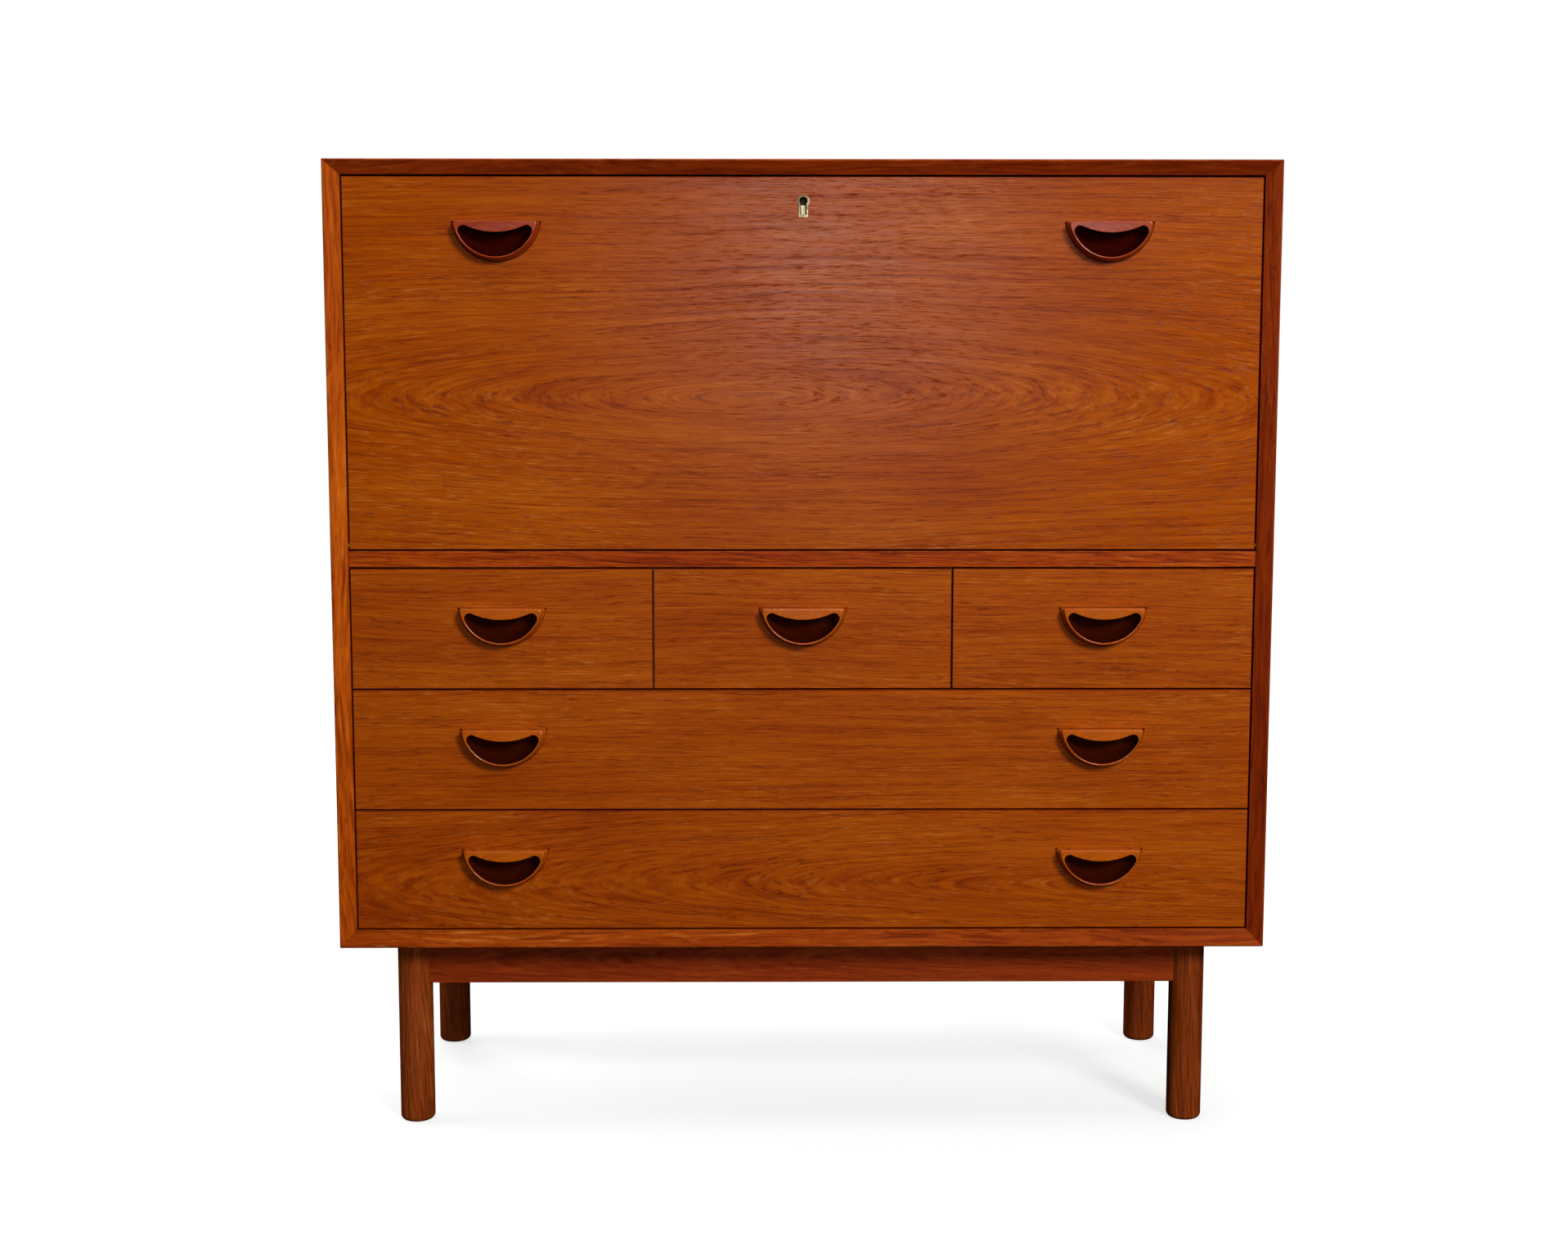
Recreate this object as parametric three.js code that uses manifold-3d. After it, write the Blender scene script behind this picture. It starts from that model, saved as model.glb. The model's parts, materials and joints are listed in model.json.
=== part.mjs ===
// Secretary desk: a mitred case on a four-legged base, with a drop-down fall front over a writing
// space, three small drawers side by side and two wide drawers.
// Millimetres. +Z is up and the front faces -Y. The origin is on the floor, under the middle of the
// bounding box.

import * as THREE from 'three';
import { mergeVertices } from 'three/addons/utils/BufferGeometryUtils.js';
import Module from 'manifold-3d';

const wasm = await Module();
wasm.setup();

// ---------------------------------------------------------------------------------------------
// Driving sizes

// overall
const CASE_WIDTH = 1080;
const CASE_HEIGHT = 905;
const CASE_DEPTH = 430;
const BASE_HEIGHT = 225;

// case boards and their bevelled front edge
const SIDE_THICKNESS = 19;
const TOP_THICKNESS = 17;
const BOTTOM_THICKNESS = 20;
const ARRIS_RADIUS = 2.5;
const BEVEL_DEPTH = 6.5;
const FRONT_RECESS = 8;
const BACK_THICKNESS = 6;
const BACK_INSET = 4;

// rows of fronts, counted upwards from the bottom board
const FRONT_GAP = 2;
const FRONT_THICKNESS = 20;
const WIDE_ROW = 141.5;
const SMALL_ROW = 140.5;
const RAIL_ROW = 20.5;
const MIDDLE_PITCH = 344;
const RAIL_DEPTH = 60;

// boards inside the case
const SHELF_THICKNESS = 12;
const PARTITION_THICKNESS = 14;
const PIGEONHOLE_DEPTH = 240;
const DIVIDER_THICKNESS = 8;
const DIVIDER_SET_BACK = 14;

// drawer boxes
const BOX_WALL = 12;
const BOX_BEHIND = 20;
const BOX_BELOW_FRONT = 18;
const BOX_SIDE_CLEARANCE = 2.5;
const BOX_RUN_CLEARANCE = 1.5;
const PANEL_THICKNESS = 5;
const PANEL_UP = 8;
const GROOVE_DEPTH = 5;

// half-moon pulls
const PULL_RADIUS = 51;
const PULL_FLARE = 3.4;
const PULL_CENTRE_ABOVE_EDGE = 6;
const PULL_PROUD = 14;
const PULL_LET_IN = 10;
const PULL_ABOVE_MIDDLE = 24.5;
const RIM_WIDTH = 2.3;
const RIM_ROUND = 1.6;
const POCKET_FLOOR = 4;
const LIP_RADIUS = 80;
const LIP_DROP = 12.6;
const HORN_RADIUS = 6.2;
const LIP_THICKNESS = 6;
const UNDERCUT_RISE = 5;
const PULL_TOP_WALL = 4;

// fall front and its hinge
const FALL_THICKNESS = 20;
const PIVOT_INSET = 4;
const FALL_CHAMFER = 1;
const FALL_SWEEP_GAP = 1;
const FALL_PULL_DOWN = 50;
const HINGE_PIN_RADIUS = 2.2;
const HINGE_PIN_LENGTH = 14;
const HINGE_PLATE_RADIUS = 3.9;
const HINGE_PLATE_THICKNESS = 1.2;

// lock
const KEY_DOWN = 27;
const KEY_HOLE_RADIUS = 4.6;
const KEY_WELL_RADIUS = 4.2;
const KEY_WELL_DEPTH = 9;
const KEY_SLOT_WIDTH = 7.2;
const KEY_SLOT_DROP = 15.5;
const ESCUTCHEON_RADIUS = 7.2;
const ESCUTCHEON_SLOT_WIDTH = 10.8;
const ESCUTCHEON_DROP = 18.2;
const ESCUTCHEON_PROUD = 0.8;
const ESCUTCHEON_LET_IN = 3;
const LOCK_WIDTH = 64;
const LOCK_HEIGHT = 46;
const LOCK_DEPTH = 12;
const BOLT_WIDTH = 30;
const BOLT_THICKNESS = 5;
const BOLT_HEIGHT = 20;
const BOLT_THROW = 8;
const STRIKE_WIDTH = 56;
const STRIKE_DEPTH = 14;
const STRIKE_THICKNESS = 1.5;

// slotted stays
const STAY_BEHIND = 27.3;
const STAY_STAND_OFF = 10;
const STAY_CLOSED_ANGLE = 30;
const STAY_OPEN_ANGLE = 120;
const STAY_WIDTH = 16;
const STAY_THICKNESS = 3;
const STAY_FROM_SIDE = 5;
const STAY_HEADROOM = 4;
const STAY_PIN_RADIUS = 3;
const STAY_PIN_BASE_RADIUS = 8;
const STAY_HEAD_RADIUS = 5.5;
const STAY_HEAD_THICKNESS = 1.5;
const BRACKET_WIDTH = 14;
const BRACKET_HEIGHT = 30;
const BRACKET_PLATE = 3;
const BRACKET_EAR_RADIUS = 6;
const STAY_PLAY = 0.5;

// legs and base rails
const LEG_RADIUS = 20.5;
const LEG_SET_BACK = 60;
const LEG_FROM_SIDE = 78;
const FOOT_ROUND = 6;
const BASE_RAIL_HEIGHT = 55;
const BASE_RAIL_THICKNESS = 22;

// clearances and facet counts
const FIT_GAP = 0.3;
const BEHIND_FRONT_GAP = 1;
const BOLT_PLAY = 1;
const BOLT_SPARE = 2;
const OVERCUT = 1;
const RUNNING_GAP = 0.3;
const LEG_SEGMENTS = 28;
const PULL_SEGMENTS = 36;
const PIN_SEGMENTS = 16;
const ARC_STEPS = 5;

// ---------------------------------------------------------------------------------------------
// Planes that several pieces share

const FRONT_EDGE_Y = -(CASE_DEPTH - (PULL_PROUD - FRONT_RECESS)) / 2;
const FACE_Y = FRONT_EDGE_Y + FRONT_RECESS;
const BEHIND_FRONTS_Y = FACE_Y + FRONT_THICKNESS + BEHIND_FRONT_GAP;
const CASE_BACK_Y = FRONT_EDGE_Y + CASE_DEPTH;
const BACK_PANEL_Y = CASE_BACK_Y - BACK_INSET - BACK_THICKNESS;
const INSIDE_BACK_Y = BACK_PANEL_Y - FIT_GAP;

const CASE_TOP_Z = BASE_HEIGHT + CASE_HEIGHT;
const INSIDE_BOTTOM_Z = BASE_HEIGHT + BOTTOM_THICKNESS;
const INSIDE_TOP_Z = CASE_TOP_Z - TOP_THICKNESS;
const INSIDE_HALF_WIDTH = CASE_WIDTH / 2 - SIDE_THICKNESS;

const LOWER_LINE_Z = INSIDE_BOTTOM_Z + FRONT_GAP / 2;
const WIDE_LINE_Z = LOWER_LINE_Z + WIDE_ROW;
const SMALL_LINE_Z = WIDE_LINE_Z + WIDE_ROW;
const RAIL_LINE_Z = SMALL_LINE_Z + SMALL_ROW;
const FALL_LINE_Z = RAIL_LINE_Z + RAIL_ROW;
const UPPER_LINE_Z = INSIDE_TOP_Z - FRONT_GAP / 2;

const FRONT_HALF_WIDTH = INSIDE_HALF_WIDTH - FRONT_GAP;
const SPLIT_X = MIDDLE_PITCH / 2;
const OUTER_PULL_X = (FRONT_HALF_WIDTH + SPLIT_X + FRONT_GAP / 2) / 2;

const RAIL_BOTTOM_Z = RAIL_LINE_Z + FRONT_GAP / 2;
const RAIL_TOP_Z = FALL_LINE_Z - FRONT_GAP / 2;
const FALL_BOTTOM_Z = FALL_LINE_Z + FRONT_GAP / 2;
const FALL_TOP_Z = UPPER_LINE_Z - FRONT_GAP / 2;
const FALL_HEIGHT = FALL_TOP_Z - FALL_BOTTOM_Z;

// the fall turns about this line, and the deck lies level with its opened inner face
const HINGE_Y = FACE_Y + PIVOT_INSET;
const HINGE_Z = FALL_BOTTOM_Z + PIVOT_INSET;
const DECK_TOP_Z = FALL_BOTTOM_Z + FALL_THICKNESS;
const DECK_BOTTOM_Z = RAIL_TOP_Z + FIT_GAP;
const FALL_SWEEP = Math.hypot(FALL_THICKNESS - PIVOT_INSET, PIVOT_INSET);
const DECK_FRONT_Y = HINGE_Y + FALL_SWEEP + FALL_SWEEP_GAP;

const BOX_LENGTH = INSIDE_BACK_Y - FACE_Y - FRONT_THICKNESS - BOX_BEHIND;
const LEG_X = CASE_WIDTH / 2 - LEG_FROM_SIDE;

// the stay's pivot on the fall and its pin in the case are equally far from the hinge, so the stay
// turns on the fall by exactly half of the fall's own angle
const STAY_PIVOT_Y = FALL_THICKNESS - PIVOT_INSET + STAY_STAND_OFF;
const STAY_TAIL_ROOM = INSIDE_BACK_Y - HINGE_Y - STAY_PIVOT_Y - STAY_WIDTH / 2 - STAY_BEHIND;
const STAY_REACH = STAY_TAIL_ROOM / (2 * Math.sin(THREE.MathUtils.degToRad(STAY_OPEN_ANGLE) / 2));
const STAY_PIVOT_Z = Math.sqrt(STAY_REACH ** 2 - STAY_PIVOT_Y ** 2);
const STAY_PIVOT_LEAN = Math.asin(STAY_PIVOT_Y / STAY_REACH);
const STAY_PIN_LEAN = STAY_PIVOT_LEAN + THREE.MathUtils.degToRad(STAY_CLOSED_ANGLE);
const STAY_PIN_Y = STAY_REACH * Math.sin(STAY_PIN_LEAN);
const STAY_PIN_Z = STAY_REACH * Math.cos(STAY_PIN_LEAN);
const STAY_CLOSED_SPAN = 2 * STAY_REACH * Math.sin(THREE.MathUtils.degToRad(STAY_CLOSED_ANGLE) / 2);
const STAY_OPEN_SPAN = STAY_TAIL_ROOM;
const STAY_OUTER_X = INSIDE_HALF_WIDTH - STAY_FROM_SIDE;
const STAY_INNER_X = STAY_OUTER_X - STAY_THICKNESS;

// the pigeonhole shelf clears the stays
const PIGEONHOLE_SHELF_Z = HINGE_Z + STAY_PIVOT_Z + STAY_WIDTH / 2 + STAY_HEADROOM;
const PIGEONHOLE_FRONT_Y = INSIDE_BACK_Y - PIGEONHOLE_DEPTH;

const KEY_Z = FALL_HEIGHT - KEY_DOWN;
const LOCK_FRONT_Y = FALL_THICKNESS - LOCK_DEPTH;
const BOLT_Y = LOCK_FRONT_Y + LOCK_DEPTH / 2;

// ---------------------------------------------------------------------------------------------
// Geometry helpers

function toSolid(geometry) {
  const bare = new THREE.BufferGeometry();
  bare.setAttribute('position', geometry.getAttribute('position').clone());
  if (geometry.index) {
    bare.setIndex(geometry.index.clone());
  }
  const merged = mergeVertices(bare, 1e-4);
  const mesh = new wasm.Mesh({
    numProp: 3,
    vertProperties: new Float32Array(merged.getAttribute('position').array),
    triVerts: new Uint32Array(merged.index.array),
  });
  return new wasm.Manifold(mesh);
}

function toGeometry(solid) {
  const mesh = solid.getMesh();
  const geometry = new THREE.BufferGeometry();
  geometry.setAttribute('position', new THREE.BufferAttribute(new Float32Array(mesh.vertProperties), 3));
  geometry.setIndex(new THREE.BufferAttribute(new Uint32Array(mesh.triVerts), 1));
  geometry.computeVertexNormals();
  return geometry;
}

function cut(body, ...tools) {
  let solid = toSolid(body);
  for (const tool of tools) {
    solid = solid.subtract(toSolid(tool));
  }
  return toGeometry(solid);
}

function join(...bodies) {
  let solid = toSolid(bodies[0]);
  for (const body of bodies.slice(1)) {
    solid = solid.add(toSolid(body));
  }
  return toGeometry(solid);
}

function common(first, second) {
  return toGeometry(toSolid(first).intersect(toSolid(second)));
}

// a block between two opposite corners
function block([x0, x1], [y0, y1], [z0, z1]) {
  const geometry = new THREE.BoxGeometry(x1 - x0, y1 - y0, z1 - z0);
  geometry.translate((x0 + x1) / 2, (y0 + y1) / 2, (z0 + z1) / 2);
  return geometry;
}

function outline(points) {
  return new THREE.Shape(points.map(([u, v]) => new THREE.Vector2(u, v)));
}

function extrude(shape, depth) {
  return new THREE.ExtrudeGeometry(shape, { depth, bevelEnabled: false, curveSegments: ARC_STEPS });
}

// an outline in Y and Z, carried along X
function alongX(shape, x0, x1) {
  const geometry = extrude(shape, x1 - x0);
  geometry.applyMatrix4(new THREE.Matrix4().set(0, 0, 1, x0, 1, 0, 0, 0, 0, 1, 0, 0, 0, 0, 0, 1));
  return geometry;
}

// an outline in X and Z, carried along Y
function alongY(shape, y0, y1) {
  const geometry = extrude(shape, y1 - y0);
  geometry.rotateX(Math.PI / 2);
  geometry.translate(0, y1, 0);
  return geometry;
}

// an outline in X and Y, carried along Z
function alongZ(shape, z0, z1) {
  const geometry = extrude(shape, z1 - z0);
  geometry.translate(0, 0, z0);
  return geometry;
}

// a turned body: pairs of radius and height, from the low end on the axis to the high end
function turned(profile, segments) {
  return new THREE.LatheGeometry(profile.map(([r, h]) => new THREE.Vector2(r, h)), segments);
}

// a round pin along X, turned from pairs of radius and distance from the case's middle plane;
// side is -1 for the left one and 1 for the right one
function turnedAlongX(profile, side) {
  const geometry = turned(profile, PIN_SEGMENTS);
  geometry.rotateZ(-side * Math.PI / 2);
  return geometry;
}

// ---------------------------------------------------------------------------------------------
// Materials

function teak(color, roughness = 0.45) {
  return new THREE.MeshStandardMaterial({ color, roughness, metalness: 0 });
}

const TEAK_FRONT = 0x9a4712;
const TEAK_FRAME = 0x8f3f10;
const TEAK_DARK = 0x6d3314;
const TEAK_PULL = 0x8a3b1c;
const OAK = 0xb98d5a;

function solidWood(color) {
  return new THREE.MeshStandardMaterial({ color, roughness: 0.6, metalness: 0 });
}

function brass() {
  return new THREE.MeshStandardMaterial({ color: 0xb8933f, roughness: 0.35, metalness: 1 });
}

function piece(name, geometry, material) {
  const mesh = new THREE.Mesh(geometry, material);
  mesh.name = name;
  return mesh;
}

const SIDES = [['left', -1], ['right', 1]];

// ---------------------------------------------------------------------------------------------
// Case boards

// section of a case board: inwards from its outer face, and back from its front edge
function boardSection(thickness) {
  const points = [[0, CASE_DEPTH], [0, ARRIS_RADIUS]];
  for (const turn of [30, 60, 90]) {
    const angle = THREE.MathUtils.degToRad(turn);
    const inwards = ARRIS_RADIUS * (1 - Math.cos(angle));
    const back = ARRIS_RADIUS * (1 - Math.sin(angle));
    points.push([inwards, back]);
  }
  points.push([thickness, BEVEL_DEPTH]);
  points.push([thickness, CASE_DEPTH]);
  return points;
}

// everything beyond the mitre plane that runs from an outer corner of the case to an inner one, as
// seen from the board that is kept: 'flat' for the top and bottom boards, 'upright' for the sides
function mitreWaste(side, up, flatThickness, kept) {
  const corner = new THREE.Vector2(side * CASE_WIDTH / 2, up > 0 ? CASE_TOP_Z : BASE_HEIGHT);
  const inwards = new THREE.Vector2(-side * SIDE_THICKNESS, -up * flatThickness).normalize();
  const away = new THREE.Vector2(side * flatThickness, -up * SIDE_THICKNESS).normalize();
  if (kept === 'upright') {
    away.negate();
  }
  const size = CASE_DEPTH / 4;
  const near = corner.clone().addScaledVector(away, -FIT_GAP / 2);
  const far = corner.clone().addScaledVector(away, size);
  const points = [
    near.clone().addScaledVector(inwards, -size),
    near.clone().addScaledVector(inwards, size),
    far.clone().addScaledVector(inwards, size),
    far.clone().addScaledVector(inwards, -size),
  ];
  return alongY(new THREE.Shape(points), FRONT_EDGE_Y - OVERCUT, CASE_BACK_Y + OVERCUT);
}

// the top board (up = 1) or the bottom board (up = -1)
function flatBoard(up, thickness) {
  const outerZ = up > 0 ? CASE_TOP_Z : BASE_HEIGHT;
  const section = boardSection(thickness).map(([u, v]) => [FRONT_EDGE_Y + v, outerZ - up * u]);
  const board = alongX(outline(section), -CASE_WIDTH / 2, CASE_WIDTH / 2);
  return cut(board, mitreWaste(-1, up, thickness, 'flat'), mitreWaste(1, up, thickness, 'flat'));
}

function sideBoard(side) {
  const outerX = side * CASE_WIDTH / 2;
  const section = boardSection(SIDE_THICKNESS).map(([u, v]) => [outerX - side * u, FRONT_EDGE_Y + v]);
  const board = alongZ(outline(section), BASE_HEIGHT, CASE_TOP_Z);
  const topWaste = mitreWaste(side, 1, TOP_THICKNESS, 'upright');
  const bottomWaste = mitreWaste(side, -1, BOTTOM_THICKNESS, 'upright');
  return cut(board, topWaste, bottomWaste);
}

// recess for the strike plate and, above it, the mortise that the bolt shoots into
function strikeCuts() {
  const boltY = FACE_Y + BOLT_Y;
  const plate = block(
    [-STRIKE_WIDTH / 2 - FIT_GAP, STRIKE_WIDTH / 2 + FIT_GAP],
    [boltY - STRIKE_DEPTH / 2 - FIT_GAP, boltY + STRIKE_DEPTH / 2 + FIT_GAP],
    [INSIDE_TOP_Z - OVERCUT, INSIDE_TOP_Z + STRIKE_THICKNESS + FIT_GAP],
  );
  const mortise = block(
    [-BOLT_WIDTH / 2 - BOLT_PLAY, BOLT_WIDTH / 2 + BOLT_PLAY],
    [boltY - BOLT_THICKNESS / 2 - BOLT_PLAY, boltY + BOLT_THICKNESS / 2 + BOLT_PLAY],
    [INSIDE_TOP_Z - OVERCUT, INSIDE_TOP_Z + BOLT_THROW + BOLT_SPARE],
  );
  return [plate, mortise];
}

function strikePlate() {
  const boltY = FACE_Y + BOLT_Y;
  const plate = block(
    [-STRIKE_WIDTH / 2, STRIKE_WIDTH / 2],
    [boltY - STRIKE_DEPTH / 2, boltY + STRIKE_DEPTH / 2],
    [INSIDE_TOP_Z, INSIDE_TOP_Z + STRIKE_THICKNESS],
  );
  const slot = block(
    [-BOLT_WIDTH / 2 - BOLT_PLAY, BOLT_WIDTH / 2 + BOLT_PLAY],
    [boltY - BOLT_THICKNESS / 2 - BOLT_PLAY, boltY + BOLT_THICKNESS / 2 + BOLT_PLAY],
    [INSIDE_TOP_Z - OVERCUT, INSIDE_TOP_Z + STRIKE_THICKNESS + OVERCUT],
  );
  return cut(plate, slot);
}

function innerBoard(y0, z0, thickness) {
  const halfWidth = INSIDE_HALF_WIDTH - FIT_GAP;
  return block([-halfWidth, halfWidth], [y0, INSIDE_BACK_Y], [z0, z0 + thickness]);
}

// a partition between small drawers, notched at the top to pass behind the rail
function partition(side) {
  const foot = SMALL_LINE_Z + SHELF_THICKNESS / 2 + FIT_GAP;
  const underRail = RAIL_BOTTOM_Z - FIT_GAP;
  const underDeck = DECK_BOTTOM_Z - FIT_GAP;
  const behindRail = FACE_Y + RAIL_DEPTH + FIT_GAP;
  const shape = outline([
    [BEHIND_FRONTS_Y, foot],
    [INSIDE_BACK_Y, foot],
    [INSIDE_BACK_Y, underDeck],
    [behindRail, underDeck],
    [behindRail, underRail],
    [BEHIND_FRONTS_Y, underRail],
  ]);
  const middle = side * SPLIT_X;
  return alongX(shape, middle - PARTITION_THICKNESS / 2, middle + PARTITION_THICKNESS / 2);
}

function buildCase() {
  const group = new THREE.Group();
  const halfWidth = INSIDE_HALF_WIDTH - FIT_GAP;
  group.add(piece('case_top', cut(flatBoard(1, TOP_THICKNESS), ...strikeCuts()), teak(TEAK_FRAME)));
  group.add(piece('case_bottom', flatBoard(-1, BOTTOM_THICKNESS), teak(TEAK_FRAME)));
  for (const [word, side] of SIDES) {
    group.add(piece(`case_side_${word}`, sideBoard(side), teak(TEAK_FRAME)));
    group.add(piece(`partition_${word}`, partition(side), solidWood(OAK)));
  }
  const backPanel = block(
    [-halfWidth, halfWidth],
    [BACK_PANEL_Y, BACK_PANEL_Y + BACK_THICKNESS],
    [INSIDE_BOTTOM_Z + FIT_GAP, INSIDE_TOP_Z - FIT_GAP],
  );
  group.add(piece('back_panel', backPanel, teak(TEAK_DARK, 0.6)));
  const lowerShelf = innerBoard(BEHIND_FRONTS_Y, WIDE_LINE_Z - SHELF_THICKNESS / 2, SHELF_THICKNESS);
  group.add(piece('shelf_between_wide_drawers', lowerShelf, solidWood(OAK)));
  const upperShelf = innerBoard(BEHIND_FRONTS_Y, SMALL_LINE_Z - SHELF_THICKNESS / 2, SHELF_THICKNESS);
  group.add(piece('shelf_under_small_drawers', upperShelf, solidWood(OAK)));
  const rail = block([-halfWidth, halfWidth], [FACE_Y, FACE_Y + RAIL_DEPTH], [RAIL_BOTTOM_Z, RAIL_TOP_Z]);
  group.add(piece('desk_rail', rail, teak(TEAK_FRONT)));
  const deck = innerBoard(DECK_FRONT_Y, DECK_BOTTOM_Z, DECK_TOP_Z - DECK_BOTTOM_Z);
  group.add(piece('desk_deck', deck, teak(TEAK_FRONT)));
  group.add(piece('strike_plate', strikePlate(), brass()));
  return group;
}

// the shelf behind the fall, with pigeonholes on top of it
function buildPigeonholes() {
  const group = new THREE.Group();
  const shelf = innerBoard(PIGEONHOLE_FRONT_Y, PIGEONHOLE_SHELF_Z, SHELF_THICKNESS);
  group.add(piece('pigeonhole_shelf', shelf, teak(TEAK_FRONT)));
  const names = ['left', 'middle', 'right'];
  const bay = 2 * INSIDE_HALF_WIDTH / (names.length + 1);
  names.forEach((word, index) => {
    const divider = block(
      [-DIVIDER_THICKNESS / 2, DIVIDER_THICKNESS / 2],
      [PIGEONHOLE_FRONT_Y + DIVIDER_SET_BACK, INSIDE_BACK_Y],
      [PIGEONHOLE_SHELF_Z + SHELF_THICKNESS + FIT_GAP, INSIDE_TOP_Z - FIT_GAP],
    );
    const mesh = piece(`pigeonhole_divider_${word}`, divider, teak(TEAK_FRONT));
    mesh.position.x = (index - 1) * bay;
    group.add(mesh);
  });
  return group;
}

// ---------------------------------------------------------------------------------------------
// Base

function leg() {
  const top = BASE_HEIGHT - FIT_GAP;
  const geometry = turned([
    [0, 0],
    [LEG_RADIUS - FOOT_ROUND, 0],
    [LEG_RADIUS - FOOT_ROUND * 0.5, FOOT_ROUND * 0.13],
    [LEG_RADIUS - FOOT_ROUND * 0.13, FOOT_ROUND * 0.5],
    [LEG_RADIUS, FOOT_ROUND],
    [LEG_RADIUS, top],
    [0, top],
  ], LEG_SEGMENTS);
  geometry.rotateX(Math.PI / 2);
  return geometry;
}

// a rail between two legs, coped to their round sides
function baseRail(span, alongWidth) {
  const low = BASE_HEIGHT - FIT_GAP - BASE_RAIL_HEIGHT;
  const high = BASE_HEIGHT - FIT_GAP;
  const half = BASE_RAIL_THICKNESS / 2;
  const across = [-half, half];
  const run = [-span / 2, span / 2];
  const rail = alongWidth ? block(run, across, [low, high]) : block(across, run, [low, high]);
  const cope = LEG_RADIUS + FIT_GAP;
  const tools = [-1, 1].map((end) => {
    const tool = new THREE.CylinderGeometry(cope, cope, 4 * BASE_HEIGHT, LEG_SEGMENTS);
    tool.rotateX(Math.PI / 2);
    tool.translate(alongWidth ? end * span / 2 : 0, alongWidth ? 0 : end * span / 2, 0);
    return tool;
  });
  return cut(rail, ...tools);
}

function buildBase() {
  const group = new THREE.Group();
  const frontLegY = FRONT_EDGE_Y + LEG_SET_BACK;
  const backLegY = CASE_BACK_Y - LEG_SET_BACK;
  const rows = [['front', frontLegY], ['back', backLegY]];
  for (const [row, y] of rows) {
    for (const [word, side] of SIDES) {
      const mesh = piece(`leg_${row}_${word}`, leg(), teak(TEAK_DARK, 0.55));
      mesh.position.set(side * LEG_X, y, 0);
      group.add(mesh);
    }
    const rail = piece(`base_rail_${row}`, baseRail(2 * LEG_X, true), teak(TEAK_DARK, 0.55));
    rail.position.y = y;
    group.add(rail);
  }
  for (const [word, side] of SIDES) {
    const rail = piece(`base_rail_${word}`, baseRail(backLegY - frontLegY, false), teak(TEAK_DARK, 0.55));
    rail.position.set(side * LEG_X, (frontLegY + backLegY) / 2, 0);
    group.add(rail);
  }
  return group;
}

// ---------------------------------------------------------------------------------------------
// Half-moon pulls. Local frame: middle of the straight top edge, on the face it is let into.

// a body turned about the pull's centre line, cut off flat a little above the straight edge
function halfMoon(profile, flatZ) {
  const body = turned(profile, PULL_SEGMENTS);
  body.translate(0, 0, PULL_CENTRE_ABOVE_EDGE);
  const size = 4 * PULL_RADIUS;
  const above = block([-size, size], [-size, size], [flatZ, size]);
  return cut(body, above);
}

// the smile-shaped mouth of the pocket, in X and Z: a low arc inside the rim, an upper lip that
// hangs down in the middle, and a round horn at each end that touches both
function mouthShape() {
  const lowRadius = PULL_RADIUS - PULL_FLARE - RIM_WIDTH;
  const lowZ = PULL_CENTRE_ABOVE_EDGE;
  const lipZ = LIP_RADIUS - LIP_DROP;
  const toLow = lowRadius - HORN_RADIUS;
  const toLip = LIP_RADIUS + HORN_RADIUS;
  const hornZ = (toLow ** 2 - toLip ** 2 + lipZ ** 2 - lowZ ** 2) / (2 * (lipZ - lowZ));
  const hornX = Math.sqrt(toLow ** 2 - (hornZ - lowZ) ** 2);
  const lowAngle = Math.atan2(hornZ - lowZ, hornX);
  const lipAngle = Math.atan2(hornZ - lipZ, hornX);
  const shape = new THREE.Shape();
  shape.absarc(0, lowZ, lowRadius, -Math.PI - lowAngle, lowAngle, false);
  shape.absarc(hornX, hornZ, HORN_RADIUS, lowAngle, lipAngle + Math.PI, false);
  shape.absarc(0, lipZ, LIP_RADIUS, lipAngle, -Math.PI - lipAngle, true);
  shape.absarc(-hornX, hornZ, HORN_RADIUS, -lipAngle, Math.PI - lowAngle, false);
  return shape;
}

function pull() {
  const rimRadius = PULL_RADIUS - PULL_FLARE;
  const body = halfMoon([
    [0, -PULL_PROUD],
    [rimRadius - RIM_ROUND, -PULL_PROUD],
    [rimRadius - RIM_ROUND * 0.2, -PULL_PROUD + RIM_ROUND * 0.5],
    [rimRadius + RIM_ROUND * 0.2, -PULL_PROUD + RIM_ROUND * 1.5],
    [PULL_RADIUS, 0],
    [PULL_RADIUS, PULL_LET_IN],
    [0, PULL_LET_IN],
  ], 0);
  const floor = PULL_LET_IN - POCKET_FLOOR;
  const mouth = alongY(mouthShape(), -PULL_PROUD - OVERCUT, floor);
  const raised = alongY(mouthShape(), -PULL_PROUD + LIP_THICKNESS, floor);
  raised.translate(0, 0, UNDERCUT_RISE);
  const inside = block(
    [-PULL_RADIUS, PULL_RADIUS],
    [-PULL_PROUD, floor + OVERCUT],
    [-PULL_RADIUS, -PULL_TOP_WALL],
  );
  return cut(body, mouth, common(raised, inside));
}

// the D-shaped recess that a pull is let into
function pullMortise() {
  const radius = PULL_RADIUS + FIT_GAP;
  const depth = PULL_LET_IN + FIT_GAP;
  return halfMoon([[0, -OVERCUT], [radius, -OVERCUT], [radius, depth], [0, depth]], FIT_GAP);
}

// ---------------------------------------------------------------------------------------------
// Fall front. Local frame: middle of its bottom front edge.

function keySlot(halfWidth, radius, drop, grow) {
  const half = halfWidth + grow;
  const round = radius + grow;
  const shape = new THREE.Shape();
  const shoulder = -Math.acos(half / round);
  shape.absarc(0, KEY_Z, round, shoulder, Math.PI - shoulder, false);
  shape.lineTo(-half, KEY_Z - drop - grow);
  shape.lineTo(half, KEY_Z - drop - grow);
  shape.closePath();
  return shape;
}

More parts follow.
